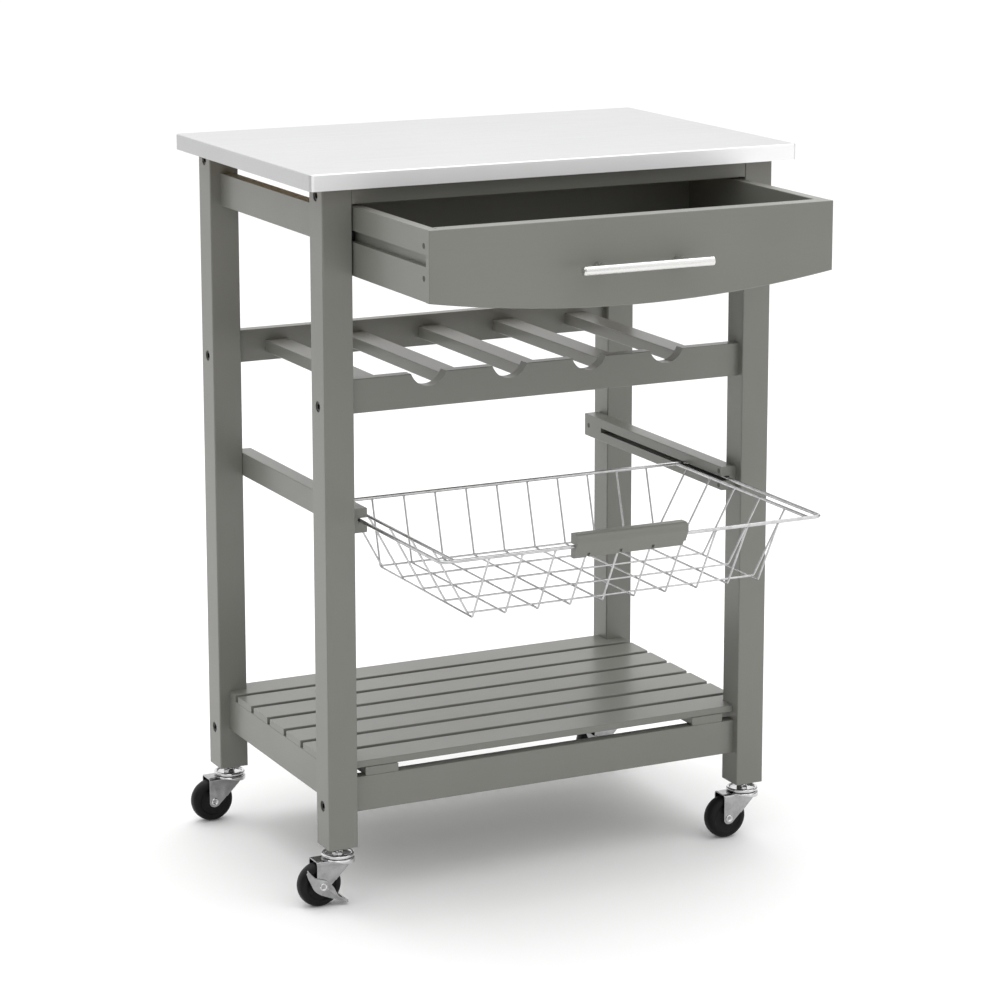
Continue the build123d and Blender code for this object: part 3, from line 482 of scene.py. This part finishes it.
def directions(path, closed=False):
    """The unit tangent at each point of a path."""
    if closed:
        step = np.roll(path, -1, axis=0) - np.roll(path, 1, axis=0)
    else:
        step = np.gradient(path, axis=0)
    return step / np.linalg.norm(step, axis=1, keepdims=True)


def round_wire(path, flat_normal, diameter, sides=14, closed=False):
    """Path + radius * (cos angle * plane's normal + sin angle * in-plane normal), for every angle."""
    path = np.asarray(path, float)
    radii = np.full(len(path), diameter / 2)
    if not closed:
        ahead = directions(path)
        ease = diameter * 0.12
        first = [path[0], path[0], path[0] + ahead[0] * ease]
        last = [path[-1] - ahead[-1] * ease, path[-1], path[-1]]
        tips = [0.0, diameter / 2 - ease, diameter / 2]
        path = np.concatenate([first, path[1:-1], last])
        radii = np.concatenate([tips, radii[1:-1], tips[::-1]])
        tangent = directions(path[2:-2])
        tangent = np.concatenate([ahead[:1], ahead[:1], tangent, ahead[-1:], ahead[-1:]])
    else:
        tangent = directions(path, True)
    normal = np.asarray(flat_normal, float)
    side = np.cross(tangent, normal)
    side = side / np.linalg.norm(side, axis=1, keepdims=True)
    angle = np.linspace(0, 2 * np.pi, sides, endpoint=False)
    circle = np.cos(angle)[None, :, None] * normal + np.sin(angle)[None, :, None] * side[:, None, :]
    points = path[:, None, :] + radii[:, None, None] * circle
    return points.reshape(-1, 3), grid_faces(len(path), sides, closed, True)


wire_low, wire_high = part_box("basket_frame")
guide_thick = wire_high.z - wire_low.z
print("guide wire", round(guide_thick * 1000, 2), "mm thick")

# %% [markdown]
# ## The basket's guide loop and rim
# The thick wire is one closed loop with round corners. Its long sides run in the grooves of the basket
# rails. Two thinner rim wires lie inside it, from the back wire to the front wire, and carry the mesh.

# %% Guide loop and rim wires
GUIDE_CORNER = 0.008
RIM_THICK = 0.0035
RIM_INSET = 0.016
guide_x = (wire_high.x - wire_low.x - guide_thick) / 2
guide_front = wire_low.y + guide_thick / 2
guide_back = wire_high.y - guide_thick / 2
wire_z = (wire_low.z + wire_high.z) / 2
rim_x = guide_x - RIM_INSET


def guide_loop():
    """A rounded rectangle: the four corners' arcs in turn, each a quarter of a circle."""
    half = np.array([guide_x, (guide_back - guide_front) / 2])
    centre = np.array([cart.x, (guide_back + guide_front) / 2])
    quarter = np.linspace(0, np.pi / 2, 9)
    signs = np.array([[1, 1], [-1, 1], [-1, -1], [1, -1]])
    turns = quarter[None, :] + np.arange(4)[:, None] * np.pi / 2
    arcs = np.stack([np.cos(turns), np.sin(turns)], axis=-1) * GUIDE_CORNER
    plan = centre + signs[:, None, :] * (half - GUIDE_CORNER) + arcs
    plan = plan.reshape(-1, 2)
    return np.column_stack([plan, np.full(len(plan), wire_z)])


frame_parts = [round_wire(guide_loop(), (0, 0, 1), guide_thick, 18, closed=True)]
for side in (-1, 1):
    ends = [[cart.x + side * rim_x, y, wire_z] for y in (guide_back, guide_front)]
    frame_parts.append(round_wire(ends, (0, 0, 1), RIM_THICK, 16))
basket_loop = make_piece("basket_loop", frame_parts, "basket_wire", "basket")
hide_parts("basket_frame")
print("guide loop", round(2 * guide_x, 4), "x", round(guide_back - guide_front, 4))

# %% [markdown]
# ## The basket's mesh
# Ten wires run from the back wire down, forward along the floor and up to the front wire. Five cross them,
# hung from one rim wire to the other. Each crossing is spot-welded, which leaves a small bead of melted
# metal, so a bead is made once and repeated at every crossing.

# %% Long wires and cross wires
MESH_THICK = 0.0022
BEND = 0.004
BACK_SLOPE = 0.021
FRONT_SLOPE = 0.041
SIDE_SLOPE = 0.039
long_low, long_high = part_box("basket_wires_long")
cross_low, cross_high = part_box("basket_wires_cross")
long_places = np.linspace(long_low.x + MESH_THICK / 2, long_high.x - MESH_THICK / 2, 10)
cross_places = np.linspace(cross_high.y - MESH_THICK / 2, cross_low.y + MESH_THICK / 2, 5)
floor_z = long_low.z + MESH_THICK / 2
cross_z = floor_z + MESH_THICK
long_top = wire_z - guide_thick / 2
cross_top = wire_z - RIM_THICK / 2
cross_half = rim_x - SIDE_SLOPE

long_parts = [
    round_wire(
        rounded_path(
            [
                (x, guide_back, long_top),
                (x, guide_back - BACK_SLOPE, floor_z),
                (x, guide_front + FRONT_SLOPE, floor_z),
                (x, guide_front, long_top),
            ],
            BEND,
        ),
        (1, 0, 0),
        MESH_THICK,
        12,
    )
    for x in long_places
]
cross_parts = [
    round_wire(
        rounded_path(
            [
                (cart.x - rim_x, y, cross_top),
                (cart.x - cross_half, y, cross_z),
                (cart.x + cross_half, y, cross_z),
                (cart.x + rim_x, y, cross_top),
            ],
            BEND,
        ),
        (0, 1, 0),
        MESH_THICK,
        12,
    )
    for y in cross_places
]
long_wires = make_piece("long_wires", long_parts, "basket_wire", "basket")
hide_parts("basket_wires_long")
cross_wires = make_piece("cross_wires", cross_parts, "basket_wire", "basket")
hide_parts("basket_wires_cross")
print("mesh wires", len(long_parts), "long", len(cross_parts), "across")

# %% Weld beads at every crossing
FLOOR_BEAD = (0.0013, 0.0013, 0.0012)
LOOP_BEAD = (0.0016, 0.0017, 0.0013)
RIM_BEAD = (0.0015, 0.0016, 0.0013)


def bead(rings=5, sides=8):
    """A small ball: rings of circles whose radius is the sine of the angle from the pole."""
    polar = np.linspace(0, np.pi, rings)[:, None]
    around = np.linspace(0, 2 * np.pi, sides, endpoint=False)[None, :]
    ball = np.stack(
        [np.sin(polar) * np.cos(around), np.sin(polar) * np.sin(around), np.cos(polar) + 0 * around], axis=-1
    )
    return ball.reshape(-1, 3), grid_faces(rings, sides, False, True)


def beads(centres, size):
    """The same bead, stretched by size, at each centre."""
    ball, faces = bead()
    return [(centre + ball * np.asarray(size), faces) for centre in np.asarray(centres, float)]


floor_crossings = [(x, y, (floor_z + cross_z) / 2) for x in long_places for y in cross_places]
loop_joins = [(x, y, long_top) for x in long_places for y in (guide_front, guide_back)]
rim_joins = [(cart.x + side * rim_x, y, cross_top) for side in (-1, 1) for y in cross_places]
weld_parts = beads(floor_crossings, FLOOR_BEAD)
weld_parts += beads(loop_joins, LOOP_BEAD)
weld_parts += beads(rim_joins, RIM_BEAD)
make_piece("basket_welds", weld_parts, "basket_wire", "basket")
print("weld beads", len(weld_parts))

# %% [markdown]
# ## Turned shapes
# Wheels, rivets and the swivel race are round, so each is a profile turned about an axis. The profile is a
# closed line of points, each a distance from the axis and a distance along it.

# %% Turn a profile about an axis
def turned(profile, centre, axis="z", sides=64):
    """(distance * cos angle, distance * sin angle, height), then laid along the axis asked for."""
    profile = np.asarray(profile, float)
    angle = np.linspace(0, 2 * np.pi, sides, endpoint=False)
    radius, height = profile[:, :1], profile[:, 1:]
    first, second, third = radius * np.cos(angle), radius * np.sin(angle), height + 0 * angle
    order = {"z": (first, second, third), "y": (first, third, second)}[axis]
    points = np.stack(order, axis=-1).reshape(-1, 3) + np.asarray(centre, float)
    return points, grid_faces(len(profile), sides, True, True)


def arc(centre, radius, start, end, steps=8):
    """Points on a circle from one angle to another, in degrees."""
    angle = np.radians(np.linspace(start, end, steps))
    return np.column_stack([centre[0] + radius * np.cos(angle), centre[1] + radius * np.sin(angle)])


wheel_low, wheel_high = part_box("caster_wheel_front_left")
wheel_radius = (wheel_high.z - wheel_low.z) / 2
wheel_half = (wheel_high.y - wheel_low.y) / 2
print("wheel radius", round(wheel_radius * 1000, 2), "mm")

# %% [markdown]
# ## Wheels
# The wheel is moulded in one piece. Its tread is nearly flat with round shoulders, a fine parting line runs
# round the middle where the two halves of the mould met, and each face has a shallow ring and a hub.

# %% Wheel profile and the four wheels
SHOULDER = 0.0062
BORE = 0.00305
HUB_EDGE = 0.0075
RING_INNER = 0.0095
RING_OUTER = 0.0158
RING_DEPTH = 0.0014


def wheel_profile():
    """Half of a wheel's section mirrored: bore, hub, ring recess, shoulder, tread and parting line."""
    r, w = wheel_radius, wheel_half
    shoulder = arc((r - SHOULDER - 0.0004, w - SHOULDER), SHOULDER, 90, 6, 12)
    tread = [[r - 0.00014, 0.0022], [r - 0.00004, 0.0005], [r - 0.00001, 0.0]]
    half = [
        [BORE, w - 0.0004],
        [BORE + 0.0004, w],
        [HUB_EDGE, w],
        [0.0082, w - 0.0003],
        [0.0087, w - 0.0012],
        [RING_INNER, w - RING_DEPTH],
        [RING_OUTER, w - RING_DEPTH],
        [0.0166, w - 0.0011],
        [0.0171, w - 0.0003],
        [0.0178, w - 0.0001],
    ]
    half = np.array([*half, *shoulder, *tread])
    other = half[::-1] * [1, -1]
    return np.concatenate([half, other[1:]])


for corner in corners:
    hub = middle("caster_wheel_" + corner)
    wheel = make_piece(
        "tyre_" + corner,
        [turned(wheel_profile(), hub, "y", 96)],
        "wheel_rubber",
        "wheel_" + corner,
        sharp=50,
    )
    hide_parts("caster_wheel_" + corner)
print("wheels", len(corners), "faces each", len(wheel.data.polygons))

# %% [markdown]
# ## Pressed caster forks
# A fork starts as a flat blank. A press folds it over into an upside-down U and dishes its round top for the
# swivel. As a surface, one parameter runs down one side plate, over the top and down the other; the second
# runs from the straight back edge to the slanting front edge. The sheet is then given its thickness.

# %% Fork sizes from the engineering model
fork_low, fork_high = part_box("caster_fork_front_right")
fork_axis = leg_axis["front_right"]
fork_hub = middle("caster_wheel_front_right")
SHEET = 0.0016
SIDE_GAP = 0.001
TIP = 0.007
FORK_BEND = 0.0028
TOP_SHEET = 0.0018
FORK_FRONT = 0.011
SKIRT = 0.0040
CREASE_STEP = 0.0007
FORK_RIB = 0.0005
AXLE_FLAT = 0.006
fork_half = wheel_half + SIDE_GAP + SHEET / 2
fork_back = fork_low.x - fork_hub.x
trail = fork_axis.x - fork_hub.x
fork_top = fork_high.z
race_radius = (fork_high.y - fork_low.y) / 2
fork_sizes = {"trail": trail, "top": fork_top, "back": fork_back}
print("fork in mm", {name: round(size * 1000, 2) for name, size in fork_sizes.items()})

# %% The folded sheet
def resample(path, count):
    """The same line with evenly spaced points."""
    along = np.concatenate([[0], np.cumsum(np.linalg.norm(np.diff(path, axis=0), axis=1))])
    even = np.linspace(0, along[-1], count)
    return np.column_stack([np.interp(even, along, path[:, k]) for k in range(path.shape[1])])


def fork_edges(height):
    """Back and front edge, from the axle, at heights above it: straight, slanting, then the tip's circle."""
    corner = np.array([trail + FORK_FRONT, fork_top - fork_hub.z - SKIRT - TOP_SHEET])
    swing = np.arctan2(corner[1], corner[0]) - np.arccos(TIP / np.hypot(*corner))
    touch = TIP * np.array([np.cos(swing), np.sin(swing)])
    share = np.clip((height - touch[1]) / (corner[1] - touch[1]), 0, 1)
    slant = touch[0] + share * (corner[0] - touch[0])
    circle = np.sqrt(np.clip(TIP**2 - height**2, 0, None))
    front = np.where(height < touch[1], circle, slant)
    back = np.where(height < 0, np.maximum(-circle, fork_back), fork_back)
    back = np.maximum(back, -TIP)
    return back, front


def fork_sheet(hub):
    """The U carried between the two edges, flared outward a little along the slanting edge."""
    low = -TIP
    top = fork_top - hub.z - TOP_SHEET / 2
    corners_u = np.array([(-fork_half, low), (-fork_half, top), (fork_half, top), (fork_half, low)])
    section = resample(rounded_path(np.column_stack([corners_u, np.zeros(4)]), FORK_BEND, 9)[:, :2], 150)
    section = np.concatenate([corners_u[:1], section[1:-1], corners_u[-1:]])
    height = section[:, 1]
    back, front = fork_edges(height)
    share = np.linspace(0, 1, 26)[None, :]
    x = back[:, None] + (front - back)[:, None] * share
    upright = np.clip((top - 0.006 - height) / 0.01, 0, 1)[:, None]
    crease = CREASE_STEP / (1 + np.exp(-(x - 0.0065 - 0.35 * height[:, None]) / 0.0009))
    rib = FORK_RIB * np.exp(-(((x - 0.001) / 0.0022) ** 2))
    rib = rib * np.exp(-(((height[:, None] - 0.017) / 0.007) ** 2))
    outward = np.sign(section[:, :1]) * upright * (crease + rib) * (np.abs(height[:, None]) > AXLE_FLAT)
    y = section[:, :1] + outward
    points = np.stack([x, y, height[:, None] + 0 * x], axis=-1) + np.array(hub)
    return points.reshape(-1, 3), grid_faces(len(section), 26)


def thicken(piece, thickness, offset=0.0, edge=0.00025):
    """Gives a sheet its thickness, then eases its edges."""
    solid = piece.modifiers.new("sheet", "SOLIDIFY")
    solid.thickness = thickness
    solid.offset = offset
    solid.use_even_offset = True
    bevel = piece.modifiers.new("eased", "BEVEL")
    bevel.width = edge
    bevel.segments = 2
    bevel.limit_method = "ANGLE"
    bevel.angle_limit = np.radians(50)
    return piece


print("fork sheet points", len(fork_sheet(fork_hub)[0]))

# %% [markdown]
# ## The swivel race and the hollow rivet
# The fork's round top has a skirt that is deep at the front and fades out behind, where the flat plate
# begins. A hollow rivet with rolled heads is the axle: a tube whose two ends were flared over.

# %% Race, plate ends and rivets
RACE_ROUND = 0.0022
RACE_DISH = 0.0006
PIN_HOLE = 0.0040


def race_ring(axis):
    """A dished ring whose skirt deepens with the cosine of the angle from the front."""
    angle = np.linspace(0, 2 * np.pi, 72, endpoint=False)[None, :]
    front = np.clip(0.5 + 0.75 * np.cos(angle), 0, 1)
    depth = TOP_SHEET + SKIRT * (3 * front**2 - 2 * front**3)
    r, t = race_radius, SHEET
    rounding = np.radians(np.linspace(0, 90, 7))[:, None]
    outer_r = r - RACE_ROUND + RACE_ROUND * np.cos(rounding)
    outer_z = -RACE_ROUND + RACE_ROUND * np.sin(rounding)
    ring = [
        (r - t + 0 * angle, -depth),
        (r - 0.0002 + 0 * angle, -depth),
        *[(rr + 0 * angle, zz + 0 * angle) for rr, zz in zip(outer_r, outer_z)],
        (0.0125 + 0 * angle, 0 * angle),
        (0.0115 + 0 * angle, -RACE_DISH + 0 * angle),
        (PIN_HOLE + 0 * angle, -RACE_DISH + 0 * angle),
        (PIN_HOLE + 0 * angle, -TOP_SHEET + 0 * angle),
        (r - t + 0 * angle, -TOP_SHEET + 0 * angle),
    ]
    radius = np.concatenate([pair[0] for pair in ring])
    height = np.concatenate([pair[1] for pair in ring])
    points = np.stack([radius * np.cos(angle), radius * np.sin(angle), height], axis=-1)
    points = points.reshape(-1, 3) + np.array([axis.x, axis.y, fork_top])
    return points, grid_faces(len(radius), 72, True, True)


def rivet(hub, near, far):
    """A tube with rolled heads: bore, flare and head at each end, turned about the axle's line."""
    head, reach, bore, shank = 0.0045, 0.0013, 0.0019, 0.00295
    lip = arc((head - 0.0009, reach - 0.0009), 0.0009, 0, 100, 6)
    end = [[shank, 0.0], [head, 0.0], *lip, [bore + 0.0013, reach - 0.0001], [bore, reach - 0.0012]]
    top = np.array(end) * [1, 1] + [0, far]
    bottom = np.array(end)[::-1] * [1, -1] + [0, near]
    return turned(np.concatenate([top, bottom]), hub, "y", 40)


LEVER_ROOM = 0.0020
braked = [corner for corner in corners if "brake_lever_" + corner in nodes]
for corner in corners:
    hub = middle("caster_wheel_" + corner)
    sheet = make_piece(
        "fork_" + corner,
        [fork_sheet(hub)],
        "zinc_painted_shade",
        "caster_" + corner,
        closed=False,
        sharp=60,
    )
    thicken(sheet, SHEET)
    lever_room = LEVER_ROOM if corner in braked else 0.0
    side = wheel_half + SIDE_GAP + SHEET
    make_piece(
        "swivel_race_" + corner,
        [race_ring(leg_axis[corner]), rivet(hub, -(side + lever_room), side)],
        "chrome",
        "caster_" + corner,
    )
    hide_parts("caster_fork_" + corner)
print("forks", len(corners), "with brakes", braked)

# %% [markdown]
# ## The half of each caster that stays with the leg
# Above the swivel race a dished cap with a rolled rim is held by a nut on the threaded stem. Cap, collar,
# stem and king pin are round, so one profile is turned for all four. The nut is cut from a six-sided bar
# and its corners are turned off, so its radius is the smaller of a hexagon's and a cone's.

# %% Caps, stems and nuts
RACE_GAP = 0.0004
CAP_RADIUS = 0.0187
CAP_ROLL = 0.0021
CAP_FLOOR = 0.0012
NUT_HEIGHT = 0.0060
NUT_APOTHEM = 0.00606
NUT_CORNER = 0.0070
STEM_RADIUS = 0.0040
COLLAR_RADIUS = 0.0055
PIN_HEAD = 0.0045
PIN_NECK = 0.0025
PIN_RADIUS = 0.0035
cap_bottom = fork_top + RACE_GAP
nut_top = CAP_FLOOR + NUT_HEIGHT
leg_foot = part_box("leg_front_left")[0].z - cap_bottom
stem_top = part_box("caster_stems")[1].z - cap_bottom


def stem_profile():
    """Up the king pin, out under the cap, round its rolled rim, in to the stem and up into the leg."""
    rim = arc((CAP_RADIUS - CAP_ROLL, CAP_ROLL), CAP_ROLL, -90, 140, 16)
    head = [[0, -PIN_HEAD], [0.0045, -PIN_HEAD], [0.0055, -0.0035], [0.0055, -PIN_NECK]]
    pin = [[PIN_RADIUS, -PIN_NECK], [PIN_RADIUS, 0]]
    dish = [[0.0145, CAP_FLOOR + 0.0006], [0.0135, CAP_FLOOR]]
    thread = [[STEM_RADIUS, CAP_FLOOR], [STEM_RADIUS, nut_top]]
    collar = [[COLLAR_RADIUS - 0.0004, nut_top], [COLLAR_RADIUS, nut_top + 0.0004], [COLLAR_RADIUS, leg_foot]]
    stem = [[STEM_RADIUS, leg_foot], [STEM_RADIUS, stem_top], [0, stem_top]]
    return np.array([*head, *pin, *rim, *dish, *thread, *collar, *stem])


def hex_nut(centre, sides=72):
    """At each angle the radius is the smaller of the hexagon's, apothem / cos(angle), and the chamfer's."""
    angle = np.linspace(0, 2 * np.pi, sides, endpoint=False)[None, :]
    hexagon = NUT_APOTHEM / np.cos(np.mod(angle, np.pi / 3) - np.pi / 6)
    from_end = np.array([0, 0, 0.0004, 0.0009])
    height = np.concatenate([from_end, NUT_HEIGHT - from_end[::-1]])[:, None]
    chamfer = np.array([STEM_RADIUS, 0.0059, 0.0065, NUT_CORNER])
    cone = np.concatenate([chamfer, chamfer[::-1]])[:, None]
    radius = np.minimum(hexagon, cone)
    points = np.stack([radius * np.cos(angle), radius * np.sin(angle), height + 0 * angle], axis=-1)
    return points.reshape(-1, 3) + np.array(centre), grid_faces(len(height), sides, True, True)


stem_parts = []
for corner in corners:
    foot = Vector((leg_axis[corner].x, leg_axis[corner].y, cap_bottom))
    stem_parts.append(turned(stem_profile(), foot))
    stem_parts.append(hex_nut(foot + Vector((0, 0, CAP_FLOOR))))
stems = make_piece("stems_and_caps", stem_parts, "chrome", "root", sharp=35)
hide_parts("caster_stems")
print("stems and caps", len(stem_parts), "parts, faces", len(stems.data.polygons))

# %% [markdown]
# ## Brake levers
# A lever is pressed from one sheet. Its cheek lies beside the fork and turns on the rivet; its upper edge is
# folded towards the wheel, and its tail is the pedal for a toe. The cheek is a band between a lower and an
# upper curve. Ribs pressed outward stiffen it, so the second array adds them to its distance from the wheel.

# %% The lever as a band with pressed ribs
def curve_through(points, count):
    """A smooth line through a few points: a cubic for each coordinate over the length between them."""
    points = np.asarray(points, float)
    along = np.concatenate([[0], np.cumsum(np.linalg.norm(np.diff(points, axis=0), axis=1))])
    even = np.linspace(0, along[-1], count)
    slope = np.gradient(points, along, axis=0)
    span = np.clip(np.searchsorted(along, even, side="right") - 1, 0, len(along) - 2)
    width = np.diff(along)[span][:, None]
    t = ((even - along[span]) / np.diff(along)[span])[:, None]
    a, b = points[span], points[span + 1]
    da, db = slope[span] * width, slope[span + 1] * width
    made = (2 * t**3 - 3 * t**2 + 1) * a
    made = made + (t**3 - 2 * t**2 + t) * da
    made = made + (3 * t**2 - 2 * t**3) * b
    return made + (t**3 - t**2) * db


LEVER_SHEET = 0.0014
DOME_HEIGHT = 0.0009
RIB_ANGLES = (-104, -38)
RIB_HEIGHT = 0.0010
RIB_WIDTH = 0.0012
PRESS_LIMIT = 0.0012
FLANGE_GAP = 0.0009
LEVER_BACK = [(-0.70, 0.775), (-0.55, 0.60), (-0.374, 0.43), (-0.13, 0.355)]
LEVER_GAP = 0.0003
lever_plane = wheel_half + SIDE_GAP + SHEET + LEVER_GAP + LEVER_SHEET / 2


def lever_cheek(hub):
    """Lower curve + share * (upper curve - lower curve), pushed outward by ribs and the folded edge."""
    r = wheel_radius
    lower = curve_through(
        [(-0.775, 0.69), (-0.73, 0.52), (-0.60, 0.24), (-0.417, -0.126), (-0.185, -0.315)]
        + [(0.185, -0.50), (0.50, -0.63), (0.83, -0.76), (1.14, -0.86)],
        70,
    )
    upper = curve_through(
        LEVER_BACK + [(0.161, 0.25), (0.37, 0.063), (0.512, -0.11), (0.62, -0.34), (0.72, -0.52)]
        + [(0.86, -0.62), (1.17, -0.76)],
        70,
    )
    share = np.linspace(0, 1, 24)[None, :, None]
    plan = (lower[:, None, :] + share * (upper - lower)[:, None, :]) * r
    x, z = plan[..., 0], plan[..., 1]
    from_axle = np.hypot(x, z)
    dome = DOME_HEIGHT * np.exp(-((from_axle / (0.30 * r)) ** 4))
    outside = np.clip((from_axle - 0.2 * r) / (0.1 * r), 0, 1)
    ribs = 0
    for way in np.radians(RIB_ANGLES):
        beside = x * np.sin(way) - z * np.cos(way)
        along = x * np.cos(way) + z * np.sin(way)
        ribs = ribs + RIB_HEIGHT * np.exp(-((beside / RIB_WIDTH) ** 2)) * (along > 0) * outside
    out = np.minimum(dome + ribs, PRESS_LIMIT)
    y = -(lever_plane + out)
    points = np.stack([x, y, z], axis=-1) + np.array(hub)
    return points.reshape(-1, 3), grid_faces(70, 24)


def lever_flange(hub):
    """The fold along the upper back edge, carried from the cheek towards the wheel round a small bend."""
    r = wheel_radius
    edge = curve_through(LEVER_BACK, 30) * r
    inward = np.linspace(0, 1, 10)[None, :]
    reach = lever_plane - wheel_half - FLANGE_GAP
    y = -(lever_plane - reach * inward) + 0 * edge[:, :1]
    lift = 0.0006 * np.sin(inward * np.pi / 2)
    points = np.stack([edge[:, :1] + 0 * inward, y, edge[:, 1:] + lift], axis=-1) + np.array(hub)
    return points.reshape(-1, 3), grid_faces(30, 10)


def lever_pedal(hub):
    """A tongue across the front of the wheel, curled down at its outer edge."""
    root, tip = np.array([0.875, -0.60]) * wheel_radius, np.array([1.165, -0.77]) * wheel_radius
    out = np.linspace(0, 1, 16)[:, None]
    across = np.linspace(-(lever_plane + 0.0004), wheel_half * 0.5, 30)[None, :]
    rounding = 0.0035 * (np.clip((across - wheel_half * 0.1) / (wheel_half * 0.4), 0, 1)) ** 2
    x = root[0] + (tip[0] - root[0] - rounding) * out
    z = root[1] + (tip[1] - root[1]) * out - 0.0028 * out**3 + 0.0006 * np.sin(out * np.pi)
    points = np.stack([x, across + 0 * x, z + 0 * x], axis=-1) + np.array(hub)
    return points.reshape(-1, 3), grid_faces(16, 30)


for corner in braked:
    hub = middle("caster_wheel_" + corner)
    lever = make_piece(
        "brake_" + corner + "_lever",
        [lever_cheek(hub), lever_flange(hub), lever_pedal(hub)],
        "zinc_painted_shade",
        "brake_" + corner,
        closed=False,
        sharp=60,
    )
    thicken(lever, LEVER_SHEET, 0.0, 0.0002)
    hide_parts("brake_lever_" + corner)
print("brake levers", len(braked))

# %% [markdown]
# ## Floor, light and camera
# The cart stands on a plain pale floor under soft light: a large panel overhead and a broad one from the
# front right, in a surround that is white above and behind the cart, grey in front and darker at the sides.
# The bright backdrop shines in the satin paint of every level face, and the grey gives bright metal its
# dark edges.

# %% Floor
floor_mesh = bpy.data.meshes.new("floor")
half_floor = 14.0
floor_mesh.from_pydata(
    [(x * half_floor, y * half_floor, 0) for x, y in ((-1, -1), (1, -1), (1, 1), (-1, 1))],
    [],
    [(0, 1, 2, 3)],
)
floor = bpy.data.objects.new("floor", floor_mesh)
bpy.context.scene.collection.objects.link(floor)
floor_finish = Finish("floor_paper")
floor_tone = floor_finish.noise(0.8, 2.0)
floor_shade = floor_finish.mix(floor_tone.ramp(0.3, 0.7), tone(0.93, 0.93, 0.93), tone(0.91, 0.91, 0.91))
floor_mesh.materials.append(floor_finish.wire_up(Base_Color=floor_shade, Roughness=0.85 + 0.05 * floor_tone))
print("floor", 2 * half_floor, "m square")

# %% Light
def panel(name, place, aim, size, power):
    """A square soft light at a place, aimed at a point."""
    data = bpy.data.lights.new(name, "AREA")
    data.energy = power
    data.size = size
    lamp = bpy.data.objects.new(name, data)
    bpy.context.scene.collection.objects.link(lamp)
    lamp.location = place
    lamp.rotation_mode = "QUATERNION"
    lamp.rotation_quaternion = (Vector(aim) - Vector(place)).to_track_quat("-Z", "Y")
    return lamp


SIDE_TONE = 0.28
FRONT_TONE = 0.90
BACK_TONE = 1.15
TOP_TONE = 1.32
HEART_HEIGHT = 0.45
heart = Vector((cart.x, cart.y, HEART_HEIGHT))
panel("overhead", heart + Vector((0.1, 0.3, 2.6)), heart, 3.0, 40)
panel("right_panel", heart + Vector((2.6, -2.6, 1.0)), heart, 2.4, 12)
world = bpy.data.worlds.new("surround")
bpy.context.scene.world = world
world.use_nodes = True
sky = world.node_tree
way = make_node(sky, "ShaderNodeTexCoord")
behind = make_node(sky, "ShaderNodeSeparateXYZ", out=1, Vector=way)
above = make_node(sky, "ShaderNodeSeparateXYZ", out=2, Vector=way)
sky_tone = SIDE_TONE + (FRONT_TONE - SIDE_TONE) * (-1 * behind).ramp(0.5, 0.95)
sky_tone = sky_tone + (BACK_TONE - SIDE_TONE) * behind.ramp(0.3, 0.85)
high_up = above.ramp(0.25, 0.75)
sky_tone = sky_tone + (TOP_TONE - sky_tone) * high_up
plug(sky, sky.nodes["Background"].inputs["Color"], sky_tone)
sky.nodes["Background"].inputs["Strength"].default_value = 1.0
bpy.context.scene.view_settings.view_transform = "Standard"

# %% Camera
camera_data = bpy.data.cameras.new("camera")
camera_data.lens = 118.6
camera_data.sensor_width = 36.0
camera_data.shift_x = -0.0134
camera_data.shift_y = -0.10
camera_data.clip_end = 100
camera = bpy.data.objects.new("camera", camera_data)
bpy.context.scene.collection.objects.link(camera)
turn, tilt = np.radians(-26.43), np.radians(11.674)
back = Vector((np.sin(turn) * np.cos(tilt), -np.cos(turn) * np.cos(tilt), np.sin(tilt)))
camera.location = Vector((cart.x - 1.6390, cart.y - 3.3773, 1.2939))
camera.rotation_mode = "QUATERNION"
camera.rotation_quaternion = (-back).to_track_quat("-Z", "Y")
bpy.context.scene.camera = camera
print("camera", [round(v, 3) for v in camera.location])
